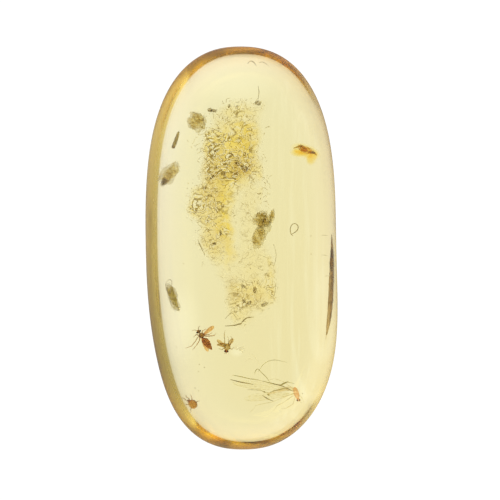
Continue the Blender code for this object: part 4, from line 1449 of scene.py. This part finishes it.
# Soft patches of the veil: x, y, half-width, half-height and strength.
CREASED = (
    (-1.1, 8.4, 2.9, 2.3, 1.30), (-0.4, 11.7, 2.7, 2.2, 0.64), (0.3, 14.0, 2.0, 1.0, 0.48),
    (-3.3, 4.6, 1.7, 2.6, 0.90), (-2.7, 0.6, 1.5, 2.2, 0.76), (-2.9, 10.6, 1.5, 1.6, 0.8),
    (1.3, 3.0, 1.8, 6.0, 0.30), (0.4, -3.0, 2.8, 3.0, 0.25), (0.9, -4.6, 2.3, 1.4, 0.54),
    (2.2, 5.5, 0.5, 4.6, 0.80), (2.9, -2.6, 0.4, 2.6, 0.60),
    (-0.2, -6.6, 1.4, 1.3, 0.48), (-1.5, 5.5, 1.0, 4.5, 0.45),
    (-3.7, 10.9, 0.9, 1.5, 0.75), (-4.6, 3.8, 0.5, 1.2, 0.60))
DUSTY = (
    (-1.2, 8.0, 2.4, 1.6, 0.62), (-0.3, 7.9, 1.0, 0.9, 0.45), (-2.9, 6.4, 1.3, 1.5, 0.50),
    (-2.9, 9.6, 1.4, 1.0, 0.30), (-3.1, 4.0, 1.3, 1.6, 0.34), (-2.5, 0.9, 1.3, 1.7, 0.30),
    (0.6, 9.9, 1.2, 1.5, 0.25), (-0.8, -4.2, 0.8, 1.4, 0.28), (0.9, -4.9, 1.6, 0.8, 0.26),
    (-0.4, 12.3, 2.4, 1.5, 0.07))
GOLDEN = (
    (-1.5, 5.0, 0.75, 1.4, 0.95), (-1.75, 2.7, 0.80, 1.5, 0.95), (-1.2, 0.2, 0.55, 2.2, 0.55),
    (0.1, 11.4, 1.9, 1.3, 0.60), (0.2, 12.0, 0.8, 0.6, 0.45), (-0.4, 10.3, 2.0, 1.1, 0.50),
    (-1.1, 7.4, 1.3, 1.8, 0.35), (1.1, 9.6, 0.8, 1.2, 0.30), (3.3, 12.3, 0.6, 0.9, 0.20))


def veil_edges(y):
    """The veil's left and right edges at a place along its length."""
    for upper, lower in zip(VEIL_ROWS, VEIL_ROWS[1:]):
        if y >= lower[0]:
            part = (upper[0] - y) / (upper[0] - lower[0])
            part = part * part * (3.0 - 2.0 * part)
            return [upper[side] + (lower[side] - upper[side]) * part for side in (1, 2)]
    return VEIL_ROWS[-1][1:]


def veil_height(x, y):
    """The height of the wrinkled veil over a place."""
    wrinkle = noise.noise(Vector((x * 0.9, y * 0.9, 3.1)))
    wrinkle += 0.5 * noise.noise(Vector((x * 2.3, y * 2.3, 7.7)))
    return VEIL_HEIGHT + VEIL_SLOPE * y + VEIL_WRINKLE * wrinkle


def soft_sum(patches, x, y, seed):
    """The strength of soft patches over a place, their borders broken up by noise."""
    x += PATCH_DRIFT * noise.noise(Vector((x * 0.8, y * 0.8, seed)))
    y += PATCH_DRIFT * noise.noise(Vector((x * 0.8, y * 0.8, seed + 9.0)))
    total = 0.0
    for at_x, at_y, half_width, half_height, strength in patches:
        far = ((x - at_x) / half_width) ** 2 + ((y - at_y) / half_height) ** 2
        total += strength * max(0.0, 1.0 - far * far * 0.45) * math.exp(-far * 0.6)
    return total


def veil_point(u, v):
    """The place on the veil at u along it, from its lowest end, and v across it."""
    top, bottom = VEIL_ROWS[0][0], VEIL_ROWS[-1][0]
    y = bottom + (top - bottom) * u
    left, right = veil_edges(y)
    x = left + (right - left) * v
    x += VEIL_RAGGEDNESS * noise.noise(Vector((x * 0.4, y * 0.9, 1.3)))
    y += VEIL_RAGGEDNESS * noise.noise(Vector((x * 0.9, y * 0.4, 5.2)))
    return Vector((x, y, veil_height(x, y)))


print("veil:", len(CREASED), "creased,", len(DUSTY), "dusty,", len(GOLDEN), "golden patches")

# %% [markdown]
# ### The film
#
# A film in clear resin is hardly there: it only tints the light. So it is a thin closed sheet
# that lets everything through, and its tint comes from three clouds that its points carry: gold,
# dust and creases. The creases are the places where noise crosses a level, which are winding
# lines. Each dark line is the crease's colour darkened with painted shade on one slope, and beside
# it runs a painted highlight, a light line where the crease tilts the other way.

# %% Veil film
VEIL_CAST = (236, 214, 122)
VEIL_GOLD = (240, 209, 92)
VEIL_DUST = (196, 165, 74)
VEIL_CREASE_AND_SHADE = (146, 120, 46)


def winding_line(value, level, width):
    """1 on the winding line where the noise crosses a level, and 0 away from it."""
    return (value - level).math("ABSOLUTE").span(width * 0.35, width, 1.0, 0.0)


def veil_film_finish():
    """Gold, dust and creases, each as strong as the mesh says."""
    made, tree, shader = new_finish("veil_film", clear=1.0)
    gold, dust, crease, fade = [attribute(tree, name) for name in ("gold", "dust", "crease", "plate")]
    coarse = grain(tree, 0.75, detail=4.0, distortion=0.6)
    fine = grain(tree, 0.16, distortion=1.2)
    wide_wave = grain(tree, 1.30, detail=1.0, distortion=0.7)
    small_wave = grain(tree, 0.70, detail=1.0, distortion=0.5)
    gold_here = gold * coarse.span(0.36, 0.62, 0.35, 1.15) * fade
    dust_here = dust * coarse.span(0.35, 0.70, 0.35, 1.35) * fine.span(0.35, 0.65, 0.45, 1.35) * fade
    # dark lines: crease colour with painted shade on one slope; light lines: painted highlight on the other
    dark = (winding_line(wide_wave, 0.46, 0.022) + winding_line(wide_wave, 0.57, 0.018)
            + winding_line(small_wave, 0.47, 0.026))
    light = (winding_line(wide_wave, 0.50, 0.022) + winding_line(wide_wave, 0.61, 0.018)
             + winding_line(small_wave, 0.52, 0.026))
    creased = crease * fade
    shown = creased * grain(tree, 0.9, detail=2.0).span(0.38, 0.56)
    colour = WHITE
    for share, most, tint in (
            (creased * 0.9, 1.0, tint_to(*VEIL_CAST)), (gold_here, 1.0, tint_to(*VEIL_GOLD)),
            (dust_here, 1.0, tint_to(*VEIL_DUST)), (light * shown, 0.9, WHITE),
            (dark * shown, 0.9, tint_to(*VEIL_CREASE_AND_SHADE))):
        colour = blend_colours(share.at_most(most), colour, tint)
    coat(shader, colour, fine.span(0.3, 0.7, 0.05, 0.2))
    bump(shader, wide_wave, 0.05, 0.6)
    return made


def make_veil_film():
    """The film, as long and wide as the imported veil."""
    film = Creature("debris_veil")

    def fade(u, v):
        """1 over the film and 0 at its edge."""
        return min(1.0, min(u, 1.0 - u) * 22.0, min(v, 1.0 - v) * 9.0)

    film.sheet(veil_point, 150, 50, FILM_THICKNESS, veil_film_finish(), marks=fade)
    piece = film.done(sharp=180.0)
    for name, patches, seed in (("gold", GOLDEN, 3.0), ("dust", DUSTY, 17.0), ("crease", CREASED, 4.0)):
        marks = piece.data.attributes.new(name, "FLOAT", "POINT")
        for vertex, mark in zip(piece.data.vertices, marks.data):
            mark.value = soft_sum(patches, vertex.co.x / MM, vertex.co.y / MM, seed)
    keep(piece, "veil_dust", "debris_veil")


make_veil_film()

# %% [markdown]
# ### The nets of creases
#
# Dried skin cracks and folds into cells, like mud. The dual of a triangle grid whose points have
# been shaken is just such a net of cells. The recipe shakes a guide grid, takes its dual, keeps
# an edge more often where the guide says the veil is creased, makes each edge a wandering line,
# and gives it a thin three-sided thread. Three guides are laid over each other: a fine and a
# coarse one for dark creases, and one for the bright cracks beside them, whose brightness is a
# painted glow. Their threads lie at slightly different heights, because the veil has a thickness.

# %% Recipe for the net
def guide_number(tree):
    """How strong the creases or the dust are, as the guide grid says."""
    return Number(add_node(
        tree, "GeometryNodeInputNamedAttribute", {"Name": "crease"}).outputs["Attribute"])


def net_recipe():
    """A net of thin, wandering threads over a guide grid."""
    tree, size = new_recipe("crease_net", {
        "Shake": 0.2 * MM, "Wander": 0.12 * MM, "Wander size": 0.3 * MM, "Thread": 0.02 * MM,
        "Step": 0.1 * MM, "Depth": 0.15 * MM, "Share kept": 1.0, "Seed": 7})
    shake = scaled(by_chance(size["Seed"], (-1.0, -1.0, 0.0), (1.0, 1.0, 0.0)), size["Shake"])
    cells = add_node(tree, "GeometryNodeDualMesh", {"Mesh": moved(tree, size["Geometry"], Offset=shake)})
    chance = by_chance(size["Seed"] + 1.0)
    kept = (guide_number(tree) * size["Share kept"] - chance).math("GREATER_THAN", 0.0)
    lines = add_node(tree, "GeometryNodeMeshToCurve", {"Mesh": cells.outputs[0], "Selection": kept})
    fine = add_node(tree, "GeometryNodeResampleCurve", {"Curve": lines.outputs[0]}, mode="LENGTH")
    feed(fine.inputs["Length"], size["Step"])

    scale = size["Wander size"] ** -1.0
    x, y = axes(sway(tree, scale, size["Wander"] * 3.0))[:2]
    rise = (Number(cloud(tree, scale * 0.4, 0.0).outputs[0]) - 0.5) * size["Depth"] * 3.0
    drift = add_node(tree, "ShaderNodeCombineXYZ", {"X": x, "Y": y, "Z": rise})
    thick = Number(cloud(tree, 4.0 / MM).outputs[0]).span(0.3, 0.7, 0.35, 1.5)
    ring = add_node(tree, "GeometryNodeCurvePrimitiveCircle", {
        "Resolution": 3, "Radius": size["Thread"]})
    threads = add_node(tree, "GeometryNodeCurveToMesh", {
        "Curve": moved(tree, fine.outputs[0], Offset=drift.outputs[0]),
        "Profile Curve": ring.outputs["Curve"], "Scale": thick, "Fill Caps": True})
    return close_recipe(size, threads.outputs[0])


NET = net_recipe()
print("recipe:", NET.name)

# %% The three nets
GUIDE_CORNER = (-5.3, -8.3)
GUIDE_SIZE = (9.2, 23.4)
ROW_SHARE = 0.87                    # a row's height in a triangle grid, as a share of a cell


def guide_grid(name, cell, patches, seed, lift):
    """A triangle grid over the veil, whose points carry how creased the veil is there."""
    bm = bmesh.new()
    crease = bm.verts.layers.float.new("crease")
    rows = int(GUIDE_SIZE[1] / (cell * ROW_SHARE))
    columns = int(GUIDE_SIZE[0] / cell)
    grid = []
    for row in range(rows + 1):
        line = []
        for column in range(columns + 1):
            x = GUIDE_CORNER[0] + cell * (column + 0.5 * (row % 2))
            y = GUIDE_CORNER[1] + cell * ROW_SHARE * row
            vertex = bm.verts.new(Vector((x, y, veil_height(x, y) + lift)) * MM)
            vertex[crease] = soft_sum(patches, x, y, seed)
            line.append(vertex)
        grid.append(line)
    for row in range(rows):
        low, high = grid[row], grid[row + 1]
        for column in range(columns):
            left, right = low[column:column + 2]
            upper_left, upper_right = high[column:column + 2]
            if row % 2:
                bm.faces.new([left, right, upper_right])
                bm.faces.new([left, upper_right, upper_left])
            else:
                bm.faces.new([left, right, upper_left])
                bm.faces.new([right, upper_right, upper_left])
    mesh = bpy.data.meshes.new(name)
    bm.to_mesh(mesh)
    bm.free()
    return put(name, mesh)


def thread_finish(name, *looks):
    """Creases: they tint the light that comes through."""
    return soft_film(name, looks, 0.35, (0.15, 0.35))[0]


def painted_glow_finish(name, glow):
    """A pale crack or bubble with a painted glow, standing in for the table's light it turns to the eye."""
    made, tree, shader = new_finish(name)
    tone = grain(tree, 0.20, detail=2.0)
    base = ramp(tone, ((0.35, (0.90, 0.88, 0.74)), (0.65, (0.96, 0.95, 0.88))))
    coat(shader, base, tone.span(0.3, 0.7, 0.2, 0.4))
    # painted glow: the pale colour is also emitted
    feed(shader.inputs["Emission Color"], base)
    shader.inputs["Emission Strength"].default_value = glow
    return made


def lay(name, recipe, guide, finish, lengths, numbers):
    """Grow a recipe on a guide grid over the veil; its lengths are in millimetres."""
    piece = guide_grid(name, *guide)
    in_metres = {label: length * MM for label, length in lengths.items()}
    grow(piece, recipe, {**in_metres, **numbers, "Finish": finish})
    keep(piece, "veil_dust")


def make_nets():
    """A fine dark net where the veil is dense, a coarse one all over it, and bright cracks with a painted
    glow.
    """
    dark = thread_finish("crease_dark", (120, 96, 28), (186, 158, 72))
    pale = thread_finish("crease_pale", (140, 116, 40), (206, 186, 106))
    # painted glow for the bright cracks
    shine = painted_glow_finish("crease_painted_glow", 0.55)
    lay("veil_net_fine", NET, (0.30, CREASED[:6] + CREASED[8:10], 4.0, 0.10), dark,
        {"Shake": 0.13, "Wander": 0.10, "Wander size": 0.28, "Thread": 0.021, "Step": 0.09,
         "Depth": 0.16}, {"Share kept": 0.18, "Seed": 3})
    lay("veil_net_coarse", NET, (0.46, CREASED, 12.0, -0.08), pale,
        {"Shake": 0.22, "Wander": 0.16, "Wander size": 0.42, "Thread": 0.019, "Step": 0.10,
         "Depth": 0.20}, {"Share kept": 0.34, "Seed": 11})
    lay("veil_net_painted_glow", NET, (0.38, CREASED[:5] + CREASED[8:12], 4.0, 0.22), shine,
        {"Shake": 0.18, "Wander": 0.16, "Wander size": 0.30, "Thread": 0.020, "Step": 0.09,
         "Depth": 0.16}, {"Share kept": 0.24, "Seed": 31})


make_nets()

# %% [markdown]
# ### Grains
#
# Dust is grains. Dark ones lie thickest where the veil is dusty; pale ones, which are specks of
# mineral and burst bubbles, sparkle between the creases with a painted glow. Both come from one
# recipe that scatters points over a guide grid by the number that the grid carries, jitters their
# height and puts a small lumpy ball on each.

# %% Recipe for grains
def grain_recipe():
    """Small balls scattered where the guide is creased."""
    tree, size = new_recipe("grains", {
        "Per square metre": 4.0e6, "Radius": 0.03 * MM, "Depth": 0.3 * MM, "Seed": 5})
    seed = size["Seed"]
    points = scattered(tree, size, guide_number(tree) * size["Per square metre"])
    offset = add_node(tree, "ShaderNodeCombineXYZ", {"Z": by_chance(seed, -1.0, 1.0) * size["Depth"]})
    spread = moved(tree, points.outputs["Points"], Offset=offset.outputs[0])
    ball = add_node(tree, "GeometryNodeMeshIcoSphere", {"Radius": size["Radius"], "Subdivisions": 1})
    return close_recipe(size, copies(
        tree, spread, ball, Rotation=by_chance(seed + 3.0, (0.0, 0.0, 0.0), (1.0, 1.0, 6.2)),
        Scale=by_chance(seed + 2.0, (0.4, 0.4, 0.3), (1.7, 1.2, 0.8))))


GRAINS = grain_recipe()


def make_grains():
    """Dark dust, and pale specks with a painted glow, over the veil."""
    soil = thread_finish("dust_dark", (84, 64, 10), (160, 134, 56))
    # painted glow for the pale specks
    light = painted_glow_finish("dust_pale_painted_glow", 0.60)
    lay("veil_dust_dark", GRAINS, (0.30, DUSTY + CREASED[3:5], 4.0, 0.0), soil,
        {"Radius": 0.030, "Depth": 0.22}, {"Per square metre": 1.1e7, "Seed": 8})
    lay("veil_dust_pale_painted_glow", GRAINS, (0.30, CREASED, 4.0, 0.25), light,
        {"Radius": 0.034, "Depth": 0.15}, {"Per square metre": 6.0e6, "Seed": 21})


make_grains()

# %% [markdown]
# ## Small things
#
# Round the big inclusions lie the small ones that make a stone look real: dark lumps in the veil,
# a curled hair, strands where the skin of a flow rolled up, hairline cracks by the sliver,
# fractures and glints whose whiteness is a painted glow, and loose specks. Each is a thin line or
# a lump in one of three finishes.

# %% Lines and lumps
LUMP_DEPTH = 0.10
SPECK_RADII = (0.038, 0.038, 0.03)
SPECK_HEIGHT = 5.0
PAINTED_GLINT_DEPTH = 0.04
PAINTED_GLINT_HEIGHT = 4.8
# Each lump: its place, half-width and half-height.
LUMPS = (
    (1.59, 14.29, 5.0, 0.24, 0.20), (2.27, -5.62, 4.4, 0.30, 0.16), (0.32, 7.84, 4.6, 0.26, 0.34),
    (0.35, 9.30, 4.7, 0.20, 0.12), (-0.44, 8.37, 4.6, 0.20, 0.22), (-2.33, 9.64, 4.7, 0.14, 0.16),
    (-2.74, 7.04, 4.6, 0.10, 0.26), (-2.92, 5.19, 4.6, 0.18, 0.12), (-2.48, 13.53, 4.8, 0.22, 0.14),
    (-2.84, 13.59, 4.8, 0.16, 0.18), (-0.40, 13.92, 4.9, 0.14, 0.10), (-1.12, 14.00, 4.9, 0.16, 0.10),
    (-1.94, 1.50, 4.6, 0.26, 0.10), (0.24, -5.29, 4.4, 0.18, 0.16), (0.18, -3.80, 4.4, 0.22, 0.14),
    (-2.52, 0.44, 4.6, 0.18, 0.10), (1.35, -4.17, 4.4, 0.14, 0.30), (0.82, -5.45, 4.4, 0.24, 0.14))
SPECKS = (
    (-3.83, -11.49), (-3.37, -11.78), (-5.36, -1.54), (-5.99, -9.77), (-3.90, -12.18), (-4.20, -13.76),
    (-3.87, -14.05), (-6.02, -14.18), (5.26, 1.68), (-0.70, -6.05), (6.41, 1.18), (6.43, -0.61),
    (5.56, -14.2), (8.0, -12.72), (3.14, 0.30))
# Each line: its radius and its points.
DARK_LINES = (
    (0.032, [(4.92, 1.18, 5.0), (4.74, 1.42, 5.0), (4.68, 1.86, 5.0), (4.80, 2.26, 5.02),
             (5.06, 2.42, 5.05), (5.32, 2.24, 5.05), (5.34, 1.90, 5.02), (5.16, 1.62, 5.0),
             (4.92, 1.44, 5.0), (4.76, 1.34, 5.0)]),
    (0.045, [(-1.00, -13.0, 4.7), (0.10, -13.3, 4.7), (1.20, -13.5, 4.7)]),
    (0.040, [(3.0, -13.4, 4.7), (3.9, -13.6, 4.7), (4.7, -14.0, 4.7)]),
    (0.040, [(2.0, -14.5, 4.7), (2.5, -14.8, 4.7), (3.0, -15.0, 4.7)]),
    (0.030, [(-4.02, 0.87, 4.6), (-3.82, 0.30, 4.6), (-3.37, -0.76, 4.6)]),
    (0.050, [(-1.51, -7.74, 4.3), (-0.51, -7.64, 4.3), (0.05, -7.34, 4.3), (0.55, -6.95, 4.3),
             (1.26, -6.85, 4.3)]),
    (0.024, [(-1.51, -7.04, 4.3), (-0.88, -6.45, 4.35), (-0.32, -7.24, 4.3)]),
    (0.032, [(0.60, 17.8, 5.2), (0.85, 18.05, 5.2), (1.15, 17.95, 5.2), (1.40, 17.6, 5.2)]),
    (0.026, [(1.6, 17.9, 5.2), (2.0, 17.95, 5.2), (2.5, 17.6, 5.2)]),
    (0.022, [(-6.89, -3.35, 4.6), (-6.65, -3.11, 4.6), (-6.41, -3.26, 4.6), (-6.39, -3.60, 4.6),
             (-6.56, -3.80, 4.6)]),
    (0.026, [(1.56, 15.81, 4.8), (1.66, 15.29, 4.8), (1.57, 14.53, 4.9)]),
    (0.016, [(3.19, 0.30, 4.6), (3.38, -0.60, 4.6), (3.29, -1.39, 4.6), (3.09, -1.99, 4.6)]),
    (0.016, [(3.39, -3.47, 4.5), (3.29, -4.37, 4.5), (3.1, -5.0, 4.5)]),
    (0.016, [(7.25, 1.25, 5.0), (7.50, 1.27, 5.0), (7.78, 1.20, 5.0)]),
    (0.014, [(7.25, -0.73, 5.0), (7.50, -0.72, 5.0), (7.78, -0.80, 5.0)]),
    (0.014, [(7.50, -2.84, 5.0), (7.70, -2.80, 5.0), (7.89, -2.81, 5.0)]))
# Pale cracks with a painted glow: each its radius and its points.
PAINTED_GLOW_LINES = (
    (0.050, [(-0.53, -9.81, 4.8), (-0.42, -10.07, 4.8), (-0.10, -9.87, 4.8), (0.07, -10.36, 4.8)]),
    (0.040, [(-0.10, -9.87, 4.8), (0.22, -9.98, 4.8), (0.30, -10.2, 4.8)]),
    (0.020, [(0.81, -10.48, 4.8), (1.26, -10.7, 4.8), (1.60, -11.2, 4.8), (1.84, -11.80, 4.8)]),
    (0.016, [(0.35, -11.33, 4.8), (0.8, -11.0, 4.8), (1.26, -11.11, 4.8)]),
    (0.030, [(-6.80, -3.50, 4.7), (-6.62, -3.30, 4.7), (-6.50, -3.48, 4.7)]))
# Each glint, a pale lump with a painted glow where a crack beside the gnat shows white:
# its place, half-width and half-height.
PAINTED_GLINTS = (
    (-0.52, -9.90, 0.16, 0.12), (-0.18, -10.06, 0.20, 0.11), (0.10, -9.82, 0.10, 0.08),
    (0.02, -10.34, 0.10, 0.10))


def make_small_things():
    """Lumps, specks, dark lines, and pale lines and glints with a painted glow."""
    dark = bark("lump_dark", ((104, 84, 24), (150, 126, 54), (196, 174, 100)))
    line = thread_finish("line_dark", (122, 104, 42), (170, 150, 84))
    # painted glow for the pale lines and the glints
    pale = painted_glow_finish("fracture_painted_glow", 0.35)
    small = Creature("small_inclusions")
    for number, (x, y, z, half_width, half_height) in enumerate(LUMPS):
        small.ball((x, y, z), (half_width, half_height, LUMP_DEPTH), dark, turn=number * 0.4,
                   roughness=0.9)
    for x, y in SPECKS:
        small.ball((x, y, SPECK_HEIGHT), SPECK_RADII, line, turn=x, detail=1, roughness=0.8)
    for radius, path in DARK_LINES:
        small.thread(path, radius, line)
    for radius, path in PAINTED_GLOW_LINES:
        small.thread(path, radius, pale, first=0.4, last=0.3)
    for x, y, half_width, half_height in PAINTED_GLINTS:
        small.ball((x, y, PAINTED_GLINT_HEIGHT), (half_width, half_height, PAINTED_GLINT_DEPTH), pale, turn=x * 3.0,
                   roughness=0.9)
    keep(small.done(), "veil_dust")


make_small_things()
